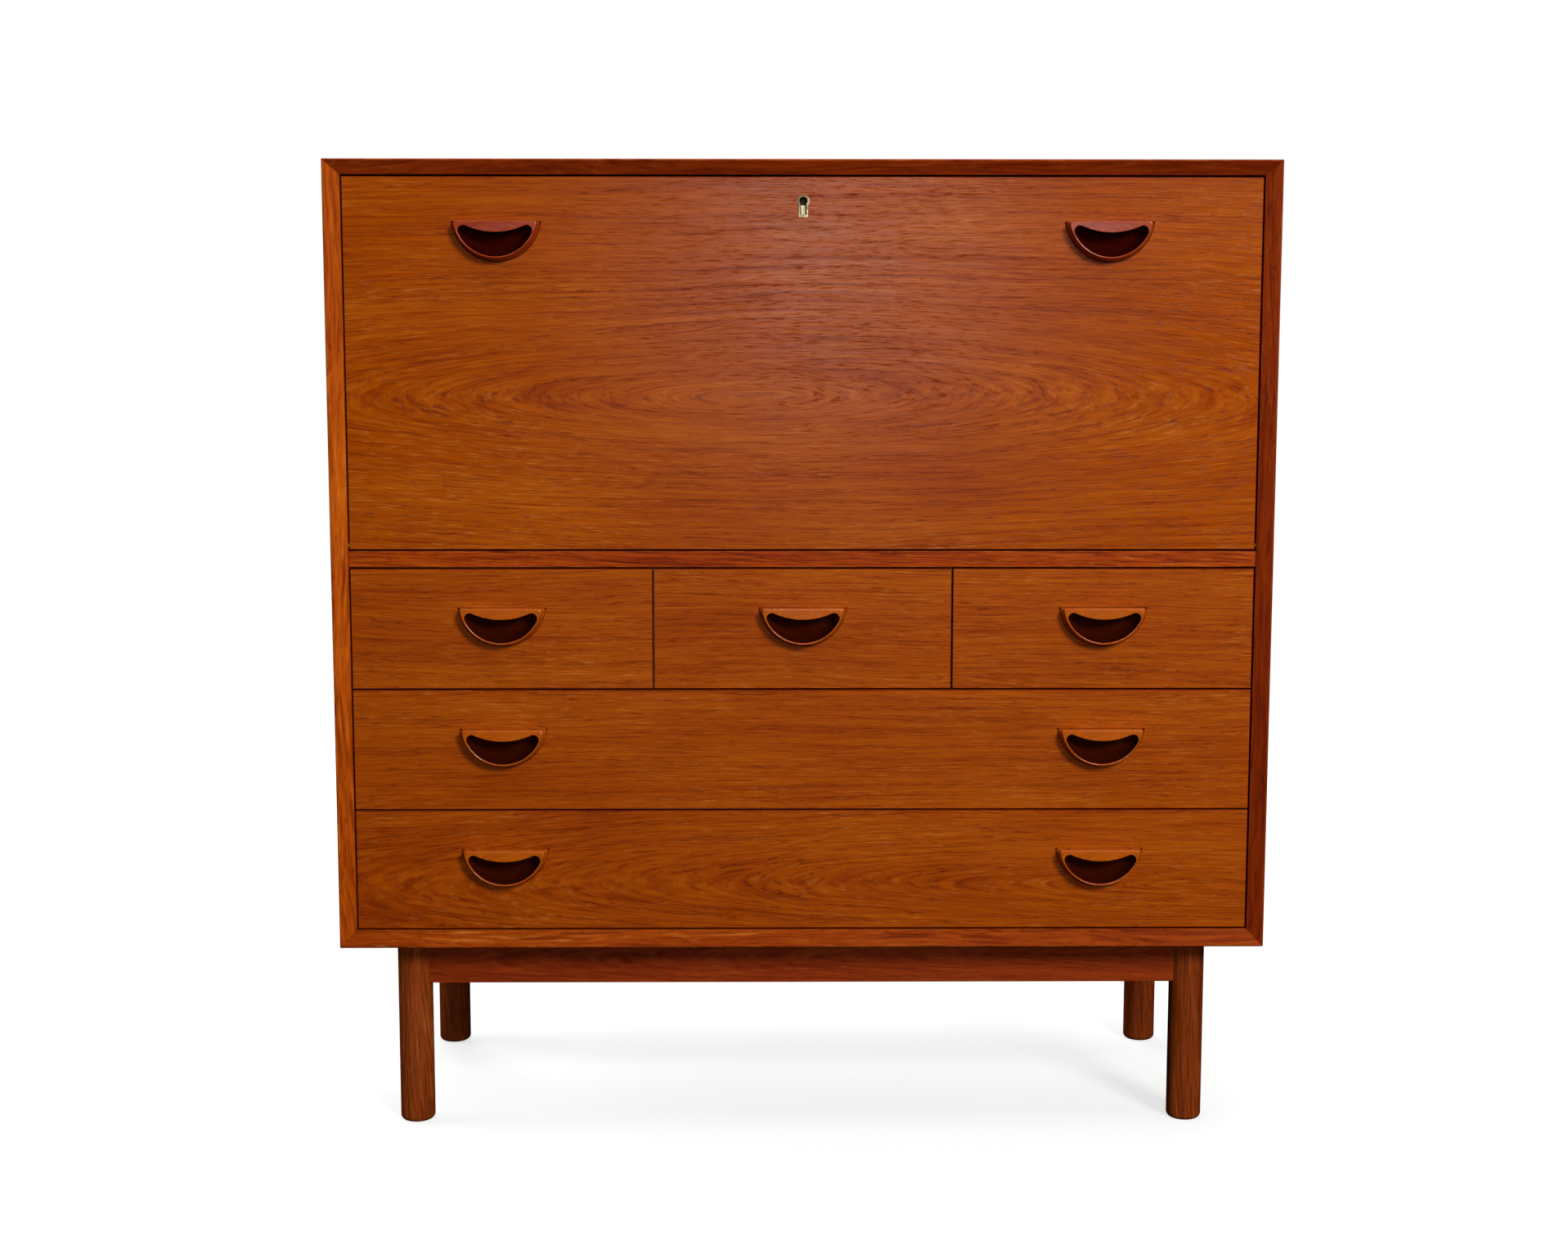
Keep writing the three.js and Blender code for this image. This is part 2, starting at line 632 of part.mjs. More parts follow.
function keyHoleShape() {
  return keySlot(KEY_SLOT_WIDTH / 2, KEY_HOLE_RADIUS, KEY_SLOT_DROP, 0);
}

function escutcheonShape(grow) {
  return keySlot(ESCUTCHEON_SLOT_WIDTH / 2, ESCUTCHEON_RADIUS, ESCUTCHEON_DROP, grow);
}

function fallPanel() {
  const section = outline([
    [0, FALL_CHAMFER],
    [FALL_CHAMFER, 0],
    [FALL_THICKNESS, 0],
    [FALL_THICKNESS, FALL_HEIGHT],
    [0, FALL_HEIGHT],
  ]);
  const panel = alongX(section, -FRONT_HALF_WIDTH, FRONT_HALF_WIDTH);
  const lockMortise = block(
    [-LOCK_WIDTH / 2 - FIT_GAP, LOCK_WIDTH / 2 + FIT_GAP],
    [LOCK_FRONT_Y - FIT_GAP, FALL_THICKNESS + OVERCUT],
    [FALL_HEIGHT - LOCK_HEIGHT - FIT_GAP, FALL_HEIGHT + OVERCUT],
  );
  const tools = [
    lockMortise,
    alongY(escutcheonShape(FIT_GAP), -OVERCUT, ESCUTCHEON_LET_IN + FIT_GAP),
    alongY(keyHoleShape(), -OVERCUT, LOCK_FRONT_Y + OVERCUT),
  ];
  for (const [, side] of SIDES) {
    const mortise = pullMortise();
    mortise.translate(side * OUTER_PULL_X, 0, FALL_HEIGHT - FALL_PULL_DOWN);
    tools.push(mortise);
    const bore = HINGE_PIN_RADIUS + RUNNING_GAP;
    const boreEnd = FRONT_HALF_WIDTH - HINGE_PIN_LENGTH - RUNNING_GAP;
    const pinHole = turnedAlongX([
      [0, boreEnd],
      [bore, boreEnd],
      [bore, FRONT_HALF_WIDTH + OVERCUT],
      [0, FRONT_HALF_WIDTH + OVERCUT],
    ], side);
    pinHole.translate(0, PIVOT_INSET, PIVOT_INSET);
    tools.push(pinHole);
  }
  return cut(panel, ...tools);
}

function escutcheon() {
  const shape = escutcheonShape(0);
  shape.holes.push(keyHoleShape());
  return alongY(shape, -ESCUTCHEON_PROUD, ESCUTCHEON_LET_IN);
}

function lockBody() {
  const body = block(
    [-LOCK_WIDTH / 2, LOCK_WIDTH / 2],
    [LOCK_FRONT_Y, FALL_THICKNESS],
    [FALL_HEIGHT - LOCK_HEIGHT, FALL_HEIGHT],
  );
  const channel = block(
    [-BOLT_WIDTH / 2 - RUNNING_GAP, BOLT_WIDTH / 2 + RUNNING_GAP],
    [BOLT_Y - BOLT_THICKNESS / 2 - RUNNING_GAP, BOLT_Y + BOLT_THICKNESS / 2 + RUNNING_GAP],
    [FALL_HEIGHT - BOLT_HEIGHT - BOLT_PLAY, FALL_HEIGHT + OVERCUT],
  );
  const keyWell = new THREE.CylinderGeometry(KEY_WELL_RADIUS, KEY_WELL_RADIUS, LOCK_DEPTH, PIN_SEGMENTS);
  keyWell.translate(0, LOCK_FRONT_Y + KEY_WELL_DEPTH - LOCK_DEPTH / 2, KEY_Z);
  return cut(body, channel, keyWell);
}

function lockBolt() {
  const top = FALL_HEIGHT - FIT_GAP;
  return block(
    [-BOLT_WIDTH / 2, BOLT_WIDTH / 2],
    [BOLT_Y - BOLT_THICKNESS / 2, BOLT_Y + BOLT_THICKNESS / 2],
    [top - BOLT_HEIGHT, top],
  );
}

// plate screwed to the fall's inner face, with an ear that carries the stay's pivot stud
function stayBracket(side) {
  const earOuter = STAY_INNER_X - STAY_PLAY;
  const earInner = earOuter - BRACKET_PLATE;
  const footInner = earOuter - BRACKET_WIDTH;
  const pivotY = FALL_THICKNESS + STAY_STAND_OFF;
  const pivotZ = PIVOT_INSET + STAY_PIVOT_Z;
  const inner = FALL_THICKNESS + FIT_GAP;
  const headInner = STAY_OUTER_X + STAY_PLAY;
  const earSpan = [pivotZ - BRACKET_EAR_RADIUS, pivotZ + BRACKET_EAR_RADIUS];
  const spanX = (a, b) => (side > 0 ? [a, b] : [-b, -a]);
  const heightSpan = [pivotZ - BRACKET_HEIGHT / 2, pivotZ + BRACKET_HEIGHT / 2];
  const foot = block(spanX(footInner, earOuter), [inner, inner + BRACKET_PLATE], heightSpan);
  const earBack = block(spanX(earInner, earOuter), [inner, pivotY], earSpan);
  const stud = turnedAlongX([
    [0, earInner],
    [BRACKET_EAR_RADIUS, earInner],
    [BRACKET_EAR_RADIUS, earOuter],
    [STAY_PIN_RADIUS, earOuter],
    [STAY_PIN_RADIUS, headInner],
    [STAY_HEAD_RADIUS, headInner],
    [STAY_HEAD_RADIUS, headInner + STAY_HEAD_THICKNESS],
    [0, headInner + STAY_HEAD_THICKNESS],
  ], side);
  stud.translate(0, pivotY, pivotZ);
  return join(foot, earBack, stud);
}

// flat bar with a round hole at its pivot and a long slot for the case pin. Local frame: the pivot;
// the bar runs along +Y.
function stayBar() {
  const half = STAY_WIDTH / 2;
  const slotHalf = STAY_PIN_RADIUS + RUNNING_GAP;
  const endY = STAY_OPEN_SPAN;
  const bar = new THREE.Shape();
  bar.absarc(0, 0, half, Math.PI / 2, 3 * Math.PI / 2, false);
  bar.absarc(endY, 0, half, -Math.PI / 2, Math.PI / 2, false);
  const slot = new THREE.Path();
  slot.absarc(STAY_CLOSED_SPAN, 0, slotHalf, Math.PI / 2, 3 * Math.PI / 2, false);
  slot.absarc(endY, 0, slotHalf, -Math.PI / 2, Math.PI / 2, false);
  bar.holes.push(slot);
  const hole = new THREE.Path();
  hole.absarc(0, 0, slotHalf, 0, 2 * Math.PI, false);
  bar.holes.push(hole);
  return alongX(bar, 0, STAY_THICKNESS);
}

function buildFall() {
  const group = new THREE.Group();
  group.position.set(0, FACE_Y, FALL_BOTTOM_Z);
  group.add(piece('fall_panel', fallPanel(), teak(TEAK_FRONT)));
  group.add(piece('escutcheon', escutcheon(), brass()));
  group.add(piece('lock_body', lockBody(), brass()));
  group.add(piece('lock_bolt', lockBolt(), brass()));
  for (const [word, side] of SIDES) {
    const mesh = piece(`fall_pull_${word}`, pull(), teak(TEAK_PULL));
    mesh.position.set(side * OUTER_PULL_X, 0, FALL_HEIGHT - FALL_PULL_DOWN);
    group.add(mesh);
    group.add(piece(`stay_bracket_${word}`, stayBracket(side), brass()));
  }
  return group;
}

// hinge pins, stay pins and the two stays, placed from the fall's hinge line
function buildFittings() {
  const group = new THREE.Group();
  group.position.set(0, HINGE_Y, HINGE_Z);
  const plateOuter = INSIDE_HALF_WIDTH - FIT_GAP;
  const plateInner = plateOuter - HINGE_PLATE_THICKNESS;
  const barAngle = Math.atan2(STAY_PIN_Z - STAY_PIVOT_Z, STAY_PIN_Y - STAY_PIVOT_Y);
  for (const [word, side] of SIDES) {
    const hingePin = turnedAlongX([
      [0, FRONT_HALF_WIDTH - HINGE_PIN_LENGTH],
      [HINGE_PIN_RADIUS, FRONT_HALF_WIDTH - HINGE_PIN_LENGTH],
      [HINGE_PIN_RADIUS, plateInner],
      [HINGE_PLATE_RADIUS, plateInner],
      [HINGE_PLATE_RADIUS, plateOuter],
      [0, plateOuter],
    ], side);
    group.add(piece(`hinge_pin_${word}`, hingePin, brass()));
    const headOuter = STAY_INNER_X - STAY_PLAY;
    const stayPin = piece(`stay_pin_${word}`, turnedAlongX([
      [0, headOuter - STAY_HEAD_THICKNESS],
      [STAY_HEAD_RADIUS, headOuter - STAY_HEAD_THICKNESS],
      [STAY_HEAD_RADIUS, headOuter],
      [STAY_PIN_RADIUS, headOuter],
      [STAY_PIN_RADIUS, STAY_OUTER_X + STAY_PLAY],
      [STAY_PIN_BASE_RADIUS, STAY_OUTER_X + STAY_PLAY],
      [STAY_PIN_BASE_RADIUS, plateOuter],
      [0, plateOuter],
    ], side), brass());
    stayPin.position.set(0, STAY_PIN_Y, STAY_PIN_Z);
    group.add(stayPin);
    const stay = piece(`stay_${word}`, stayBar(), brass());
    stay.position.set(side > 0 ? STAY_INNER_X : -STAY_OUTER_X, STAY_PIVOT_Y, STAY_PIVOT_Z);
    stay.rotation.x = barAngle;
    group.add(stay);
  }
  return group;
}

// ---------------------------------------------------------------------------------------------
// Drawers. Local frame: on the face plane, at the front's bottom edge, on the case's middle plane.

function buildDrawer(name, spec) {
  const group = new THREE.Group();
  group.position.set(0, FACE_Y, spec.frontZ[0]);
  const frontHeight = spec.frontZ[1] - spec.frontZ[0];
  const boxBottom = spec.runsOnZ + BOX_RUN_CLEARANCE - spec.frontZ[0];
  const boxTop = frontHeight - BOX_BELOW_FRONT;
  const [left, right] = spec.boxX;
  const startY = FRONT_THICKNESS + FIT_GAP;
  const endY = FRONT_THICKNESS + BOX_LENGTH;

  const panelZ = [boxBottom + PANEL_UP, boxBottom + PANEL_UP + PANEL_THICKNESS];
  const panelX = [left + BOX_WALL - GROOVE_DEPTH, right - BOX_WALL + GROOVE_DEPTH];
  const panelY = [FRONT_THICKNESS - GROOVE_DEPTH, endY - BOX_WALL + GROOVE_DEPTH];
  const grow = ([low, high]) => [low - FIT_GAP, high + FIT_GAP];
  const groove = block(grow(panelX), grow(panelY), grow(panelZ));

  const frontTools = [groove];
  const pullZ = frontHeight / 2 + PULL_ABOVE_MIDDLE;
  for (const [, pullX] of spec.pulls) {
    const mortise = pullMortise();
    mortise.translate(pullX, 0, pullZ);
    frontTools.push(mortise);
  }
  const front = cut(block(spec.frontX, [0, FRONT_THICKNESS], [0, frontHeight]), ...frontTools);
  group.add(piece(`${name}_front`, front, teak(TEAK_FRONT)));

  const walls = outline([
    [left, startY],
    [left + BOX_WALL, startY],
    [left + BOX_WALL, endY - BOX_WALL],
    [right - BOX_WALL, endY - BOX_WALL],
    [right - BOX_WALL, startY],
    [right, startY],
    [right, endY],
    [left, endY],
  ]);
  const box = cut(alongZ(walls, boxBottom, boxTop), groove);
  group.add(piece(`${name}_box`, box, solidWood(OAK)));
  group.add(piece(`${name}_bottom`, block(panelX, panelY, panelZ), solidWood(OAK)));

  for (const [suffix, pullX] of spec.pulls) {
    const mesh = piece(`${name}_pull${suffix}`, pull(), teak(TEAK_PULL));
    mesh.position.set(pullX, 0, pullZ);
    group.add(mesh);
  }
  return group;
}

function buildDrawers() {
  const group = new THREE.Group();
  const halfGap = FRONT_GAP / 2;
  const boxEdge = INSIDE_HALF_WIDTH - BOX_SIDE_CLEARANCE;
  const besideX = SPLIT_X + PARTITION_THICKNESS / 2 + BOX_SIDE_CLEARANCE;
  const middleX = SPLIT_X - PARTITION_THICKNESS / 2 - BOX_SIDE_CLEARANCE;

  const smallRow = {
    frontZ: [SMALL_LINE_Z + halfGap, RAIL_LINE_Z - halfGap],
    runsOnZ: SMALL_LINE_Z + SHELF_THICKNESS / 2,
  };
  group.add(buildDrawer('drawer_small_left', {
    ...smallRow,
    frontX: [-FRONT_HALF_WIDTH, -SPLIT_X - halfGap],
    boxX: [-boxEdge, -besideX],
    pulls: [['', -OUTER_PULL_X]],
  }));
  group.add(buildDrawer('drawer_small_middle', {
    ...smallRow,
    frontX: [-SPLIT_X + halfGap, SPLIT_X - halfGap],
    boxX: [-middleX, middleX],
    pulls: [['', 0]],
  }));
  group.add(buildDrawer('drawer_small_right', {
    ...smallRow,
    frontX: [SPLIT_X + halfGap, FRONT_HALF_WIDTH],
    boxX: [besideX, boxEdge],
    pulls: [['', OUTER_PULL_X]],
  }));

  const wideRow = {
    frontX: [-FRONT_HALF_WIDTH, FRONT_HALF_WIDTH],
    boxX: [-boxEdge, boxEdge],
    pulls: [['_left', -OUTER_PULL_X], ['_right', OUTER_PULL_X]],
  };
  group.add(buildDrawer('drawer_wide_upper', {
    ...wideRow,
    frontZ: [WIDE_LINE_Z + halfGap, SMALL_LINE_Z - halfGap],
    runsOnZ: WIDE_LINE_Z + SHELF_THICKNESS / 2,
  }));
  group.add(buildDrawer('drawer_wide_lower', {
    ...wideRow,
    frontZ: [LOWER_LINE_Z + halfGap, WIDE_LINE_Z - halfGap],
    runsOnZ: INSIDE_BOTTOM_Z,
  }));
  return group;
}

// ---------------------------------------------------------------------------------------------
// The whole desk

const desk = new THREE.Group();
desk.name = 'secretary_desk';
desk.add(buildBase());
desk.add(buildCase());
desk.add(buildPigeonholes());
desk.add(buildFall());
desk.add(buildFittings());
desk.add(buildDrawers());

export default desk;
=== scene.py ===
import json
import math
import bpy
import bmesh
from mathutils import Matrix, Vector

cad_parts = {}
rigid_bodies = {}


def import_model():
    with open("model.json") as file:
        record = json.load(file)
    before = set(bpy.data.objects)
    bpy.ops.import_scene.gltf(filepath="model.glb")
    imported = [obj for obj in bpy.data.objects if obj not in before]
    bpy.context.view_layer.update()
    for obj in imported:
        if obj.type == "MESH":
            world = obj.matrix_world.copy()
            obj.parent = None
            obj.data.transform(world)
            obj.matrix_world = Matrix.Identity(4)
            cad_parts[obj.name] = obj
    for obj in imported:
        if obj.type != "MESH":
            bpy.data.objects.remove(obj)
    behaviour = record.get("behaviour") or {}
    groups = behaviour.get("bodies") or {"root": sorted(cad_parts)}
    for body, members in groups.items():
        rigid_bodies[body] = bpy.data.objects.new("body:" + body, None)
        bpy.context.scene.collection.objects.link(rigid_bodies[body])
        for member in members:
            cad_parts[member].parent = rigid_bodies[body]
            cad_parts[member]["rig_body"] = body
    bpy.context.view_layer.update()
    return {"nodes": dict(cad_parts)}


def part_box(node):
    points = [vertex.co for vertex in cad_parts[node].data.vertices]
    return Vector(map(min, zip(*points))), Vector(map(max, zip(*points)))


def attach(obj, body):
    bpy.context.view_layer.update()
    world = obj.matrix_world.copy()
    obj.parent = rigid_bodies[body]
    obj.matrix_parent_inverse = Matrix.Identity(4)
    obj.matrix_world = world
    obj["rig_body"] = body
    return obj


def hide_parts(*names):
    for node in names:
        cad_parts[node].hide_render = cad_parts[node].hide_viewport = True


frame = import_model()

MM = 0.001
SIDES = (("left", -1), ("right", 1))
ROWS = ("drawer_small_left", "drawer_small_middle", "drawer_small_right",
        "drawer_wide_upper", "drawer_wide_lower")


def body_of(node):
    return frame["nodes"][node]["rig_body"]


# ---------------------------------------------------------------------------------------------
# Materials

def srgb(r, g, b):
    def linear(c):
        c = c / 255
        return c / 12.92 if c <= 0.04045 else ((c + 0.055) / 1.055) ** 2.4
    return (linear(r), linear(g), linear(b), 1.0)


class Shader:
    """A material whose node tree is built with short calls."""

    def __init__(self, name):
        self.material = bpy.data.materials.new(name)
        self.material.use_nodes = True
        self.tree = self.material.node_tree
        self.tree.nodes.clear()
        self.surface = self.add("ShaderNodeBsdfPrincipled")
        out = self.add("ShaderNodeOutputMaterial")
        self.tree.links.new(self.surface.outputs["BSDF"], out.inputs["Surface"])

    def add(self, kind, **settings):
        node = self.tree.nodes.new(kind)
        for key, value in settings.items():
            setattr(node, key, value)
        return node

    def put(self, socket, value):
        if isinstance(value, bpy.types.NodeSocket):
            self.tree.links.new(value, socket)
        else:
            socket.default_value = value

    def math(self, operation, a, b=None, c=None, clamp=False):
        node = self.add("ShaderNodeMath", operation=operation, use_clamp=clamp)
        for index, value in enumerate((a, b, c)):
            if value is not None:
                self.put(node.inputs[index], value)
        return node.outputs[0]

    def spread(self, value, low, high, to_low=0.0, to_high=1.0):
        node = self.add("ShaderNodeMapRange", clamp=True)
        for index, number in enumerate((value, low, high, to_low, to_high)):
            self.put(node.inputs[index], number)
        return node.outputs[0]

    def noise(self, vector, scale, detail=3.0, rough=0.5, distortion=0.0):
        node = self.add("ShaderNodeTexNoise")
        self.put(node.inputs["Vector"], vector)
        self.put(node.inputs["Scale"], scale)
        self.put(node.inputs["Detail"], detail)
        self.put(node.inputs["Roughness"], rough)
        self.put(node.inputs["Distortion"], distortion)
        return node.outputs["Fac"]

    def stretch(self, vector, scale):
        node = self.add("ShaderNodeVectorMath", operation="MULTIPLY")
        self.put(node.inputs[0], vector)
        node.inputs[1].default_value = scale
        return node.outputs[0]

    def ramp(self, value, stops):
        node = self.add("ShaderNodeValToRGB")
        self.put(node.inputs["Fac"], value)
        elements = node.color_ramp.elements
        while len(elements) < len(stops):
            elements.new(0.5)
        for element, (place, colour) in zip(elements, stops):
            element.position = place
            element.color = colour
        return node.outputs["Color"]

    def mix(self, factor, a, b, blend="MIX"):
        node = self.add("ShaderNodeMix", data_type="RGBA", blend_type=blend)
        self.put(node.inputs[0], factor)
        self.put(node.inputs[6], a)
        self.put(node.inputs[7], b)
        return node.outputs[2]

    def bump(self, height, distance, strength=1.0):
        node = self.add("ShaderNodeBump")
        self.put(node.inputs["Height"], height)
        node.inputs["Distance"].default_value = distance
        node.inputs["Strength"].default_value = strength
        self.put(self.surface.inputs["Normal"], node.outputs["Normal"])


# which row-frame axes run along the grain, across it and into the board
GRAIN = {"x": (0, 2, 1), "z": (2, 0, 1), "y": (1, 2, 0), "xy": (0, 1, 2), "zy": (2, 1, 0)}


def wood(name, tones, grain="x", eye=(0.0, 0.0), longer=9.0, rings=90.0, seed=0.0,
         figure=0.5, streak=0.5, pores=0.6, gloss=0.42, wear=0.35, sheen=0.05, paint_pocket_shade=False, relief=0.7,
         gap_shade=None):
    """Teak or oak. tones are dark, middle, light and pale; eye is the middle of the cathedral figure
    along and across the grain, in metres, and longer says how much longer than wide it is.
    gap_shade paints shade on the eased edges, where one front meets the next: dark red, as the gaps
    between fronts look in shade."""
    s = Shader(name)
    place = s.add("ShaderNodeTexCoord").outputs["Object"]
    parts = s.add("ShaderNodeSeparateXYZ")
    s.put(parts.inputs[0], place)
    along, across, into = (parts.outputs[i] for i in GRAIN[grain])
    ordered = s.add("ShaderNodeCombineXYZ")
    s.put(ordered.inputs[0], s.math("ADD", along, seed))
    s.put(ordered.inputs[1], across)
    s.put(ordered.inputs[2], into)
    grained = ordered.outputs[0]

    wander = s.noise(s.stretch(grained, (1.0, 3.0, 3.0)), 1.5, 2.0)
    ripple = s.noise(s.stretch(grained, (1.0, 2.0, 2.0)), 9.0, 2.0)
    v = s.math("ADD", s.math("SUBTRACT", across, eye[1]), s.math("MULTIPLY_ADD", wander, 0.036, -0.018))
    v = s.math("ADD", v, s.math("MULTIPLY_ADD", ripple, 0.0044, -0.0022))
    u = s.math("DIVIDE", s.math("SUBTRACT", along, eye[0]), longer)
    radius = s.math("SQRT", s.math("ADD", s.math("MULTIPLY", u, u), s.math("MULTIPLY", v, v)))
    phase = s.math("FRACT", s.math("MULTIPLY", radius, rings))
    ring = s.ramp(phase, ((0.0, (0, 0, 0, 1)), (0.6, (0.12, 0.12, 0.12, 1)),
                          (0.9, (1, 1, 1, 1)), (1.0, (0, 0, 0, 1))))
    shown = s.spread(s.noise(s.stretch(grained, (1.0, 4.0, 4.0)), 3.1, 2.0), 0.42, 0.66, 0.1, 1.0)
    ring = s.math("MULTIPLY", ring, shown)

    # fibres, streaks and pores run along the growth rings
    flow_node = s.add("ShaderNodeCombineXYZ")
    s.put(flow_node.inputs[0], s.math("ADD", along, seed))
    s.put(flow_node.inputs[1], radius)
    s.put(flow_node.inputs[2], s.math("MULTIPLY", s.math("ADD", across, into), 0.3))
    flow = flow_node.outputs[0]
    broad = s.noise(s.stretch(flow, (1.0, 24.0, 24.0)), 1.3, 3.0, 0.55)
    fine = s.noise(s.stretch(flow, (1.0, 40.0, 20.0)), 4.0, 3.0, 0.55)
    hair = s.noise(s.stretch(flow, (1.0, 40.0, 20.0)), 18.0, 2.0, 0.6)
    patch = s.noise(s.stretch(grained, (1.0, 2.2, 2.2)), 3.4, 3.0)
    tone = s.math("MULTIPLY_ADD", s.math("SUBTRACT", broad, 0.5), -0.85 * streak, 0.54)
    tone = s.math("ADD", tone, s.math("MULTIPLY", s.math("SUBTRACT", fine, 0.5), -0.75 * streak))
    tone = s.math("ADD", tone, s.math("MULTIPLY", s.math("SUBTRACT", hair, 0.5), -1.5 * streak))
    tone = s.math("ADD", tone, s.math("MULTIPLY", s.math("SUBTRACT", patch, 0.5), 0.75 * streak))
    tone = s.math("SUBTRACT", tone, s.math("MULTIPLY", ring, 0.3 * figure), clamp=True)
    dark, middle, light, pale = tones
    colour = s.ramp(tone, ((0.1, dark), (0.45, middle), (0.76, light), (1.0, pale)))

    # thin dark lines, long and short, then pores as dark dashes and pale flecks between them
    line = s.spread(s.noise(s.stretch(flow, (1.0, 95.0, 40.0)), 3.6, 2.0, 0.5), 0.56, 0.66)
    thread = s.spread(s.noise(s.stretch(flow, (1.0, 55.0, 25.0)), 13.0, 2.0, 0.5), 0.55, 0.66)
    threads = s.math("MULTIPLY", thread, 0.8 * streak)
    lines = s.math("MULTIPLY_ADD", line, 0.45 * streak, threads, clamp=True)
    colour = s.mix(lines, colour, dark)
    dash = s.spread(s.noise(s.stretch(flow, (1.0, 13.0, 8.0)), 58.0, 2.0, 0.5), 0.57, 0.67)
    dash = s.math("MULTIPLY", dash, s.spread(fine, 0.38, 0.6, 0.25, 1.0))
    fleck = s.spread(s.noise(s.stretch(flow, (1.0, 14.0, 8.0)), 44.0, 2.0, 0.5), 0.58, 0.70)
    fleck = s.math("MULTIPLY", fleck, s.spread(patch, 0.4, 0.62, 0.2, 1.0))
    colour = s.mix(s.math("MULTIPLY", fleck, 0.6 * pores), colour, pale)
    colour = s.mix(s.math("MULTIPLY", dash, pores), colour, s.mix(0.3, dark, (0.0, 0.0, 0.0, 1.0)))
    edge = s.add("ShaderNodeAttribute", attribute_name="edge").outputs["Fac"]
    scuff = s.spread(s.noise(place, 45.0, 4.0, 0.6), 0.42, 0.62)
    worn = s.math("MULTIPLY", s.math("MULTIPLY", edge, scuff), wear)
    colour = s.mix(worn, colour, pale)
    # painted shade: the eased edges of the fronts turn dark red, as the gaps between fronts look in shade
    if gap_shade:
        colour = s.mix(s.math("MULTIPLY", edge, 0.85), colour, gap_shade)
    # painted shade: the pull's pocket turns near-black maroon, where shade falls inside it
    if paint_pocket_shade:
        pocket_shade = s.add("ShaderNodeAttribute", attribute_name="pocket_shade").outputs["Fac"]
        colour = s.mix(s.math("MULTIPLY", pocket_shade, 0.96), colour, (0.016, 0.0005, 0.0004, 1.0))
    s.put(s.surface.inputs["Base Color"], colour)

    rough = s.math("MULTIPLY_ADD", fine, 0.16, gloss - 0.08)
    rough = s.math("ADD", rough, s.math("MULTIPLY", dash, 0.22))
    cloudy = s.noise(place, 7.0, 3.0)
    rough = s.math("ADD", rough, s.math("MULTIPLY_ADD", cloudy, 0.12, -0.06), clamp=True)
    s.put(s.surface.inputs["Roughness"], rough)
    # the pocket of painted shade also loses its sheen
    if paint_pocket_shade:
        s.put(s.surface.inputs["Specular IOR Level"], s.spread(pocket_shade, 0.0, 0.3, sheen, 0.0))
    else:
        s.surface.inputs["Specular IOR Level"].default_value = sheen
    height = s.math("SUBTRACT", s.math("MULTIPLY", hair, 0.35), s.math("MULTIPLY", dash, 1.0))
    s.bump(height, 0.00022, relief)
    return s.material


def metal(name, bright, dull, gloss=0.3):
    """Brass or steel with rubbed, tarnished and finely brushed surfaces."""
    s = Shader(name)
    place = s.add("ShaderNodeTexCoord").outputs["Object"]
    cloud = s.noise(place, 60.0, 5.0, 0.6)
    spots = s.spread(s.noise(place, 240.0, 3.0, 0.6), 0.55, 0.7)
    brushed = s.noise(s.stretch(place, (1.0, 1.0, 14.0)), 160.0, 3.0)
    aged = s.math("ADD", s.spread(cloud, 0.35, 0.65), s.math("MULTIPLY", spots, 0.35), clamp=True)
    edge = s.add("ShaderNodeAttribute", attribute_name="edge").outputs["Fac"]
    aged = s.math("SUBTRACT", aged, s.math("MULTIPLY", edge, 0.4), clamp=True)
    s.put(s.surface.inputs["Base Color"], s.mix(aged, bright, dull))
    s.surface.inputs["Metallic"].default_value = 1.0
    rough = s.math("MULTIPLY_ADD", aged, 0.2, gloss)
    s.put(s.surface.inputs["Roughness"], s.math("ADD", rough, s.math("MULTIPLY", brushed, 0.08)))
    s.bump(brushed, 0.00005, 0.5)
    return s.material


TEAK = (srgb(96, 24, 0), srgb(142, 58, 0), srgb(162, 78, 4), srgb(196, 122, 52))
# TEAK_SHADED_RED and TEAK_TOP_SHADE are darker, redder copies of teak that paint shade into the right and
# top boards; TEAK_LIT_ORANGE is a brighter copy that paints light into the left board
TEAK_SHADED_RED = (srgb(76, 15, 1), srgb(112, 34, 3), srgb(130, 46, 6), srgb(160, 76, 24))
TEAK_TOP_SHADE = (srgb(70, 14, 1), srgb(108, 32, 3), srgb(132, 48, 6), srgb(160, 78, 26))
TEAK_RAIL = (srgb(96, 24, 0), srgb(142, 50, 0), srgb(162, 68, 4), srgb(190, 108, 38))
TEAK_APRON = (srgb(80, 20, 3), srgb(122, 40, 8), srgb(144, 56, 12), srgb(168, 84, 34))
TEAK_BASEBOARD = (srgb(84, 20, 0), srgb(128, 46, 2), srgb(146, 62, 6), srgb(178, 100, 38))
TEAK_LIT_ORANGE = (srgb(112, 32, 1), srgb(156, 66, 4), srgb(178, 84, 10), srgb(202, 116, 36))
TEAK_AGED = (srgb(76, 24, 5), srgb(120, 48, 12), srgb(142, 68, 24), srgb(168, 98, 52))
OAK = (srgb(142, 88, 44), srgb(196, 138, 82), srgb(214, 162, 106), srgb(230, 188, 140))


# ---------------------------------------------------------------------------------------------
# Mesh helpers

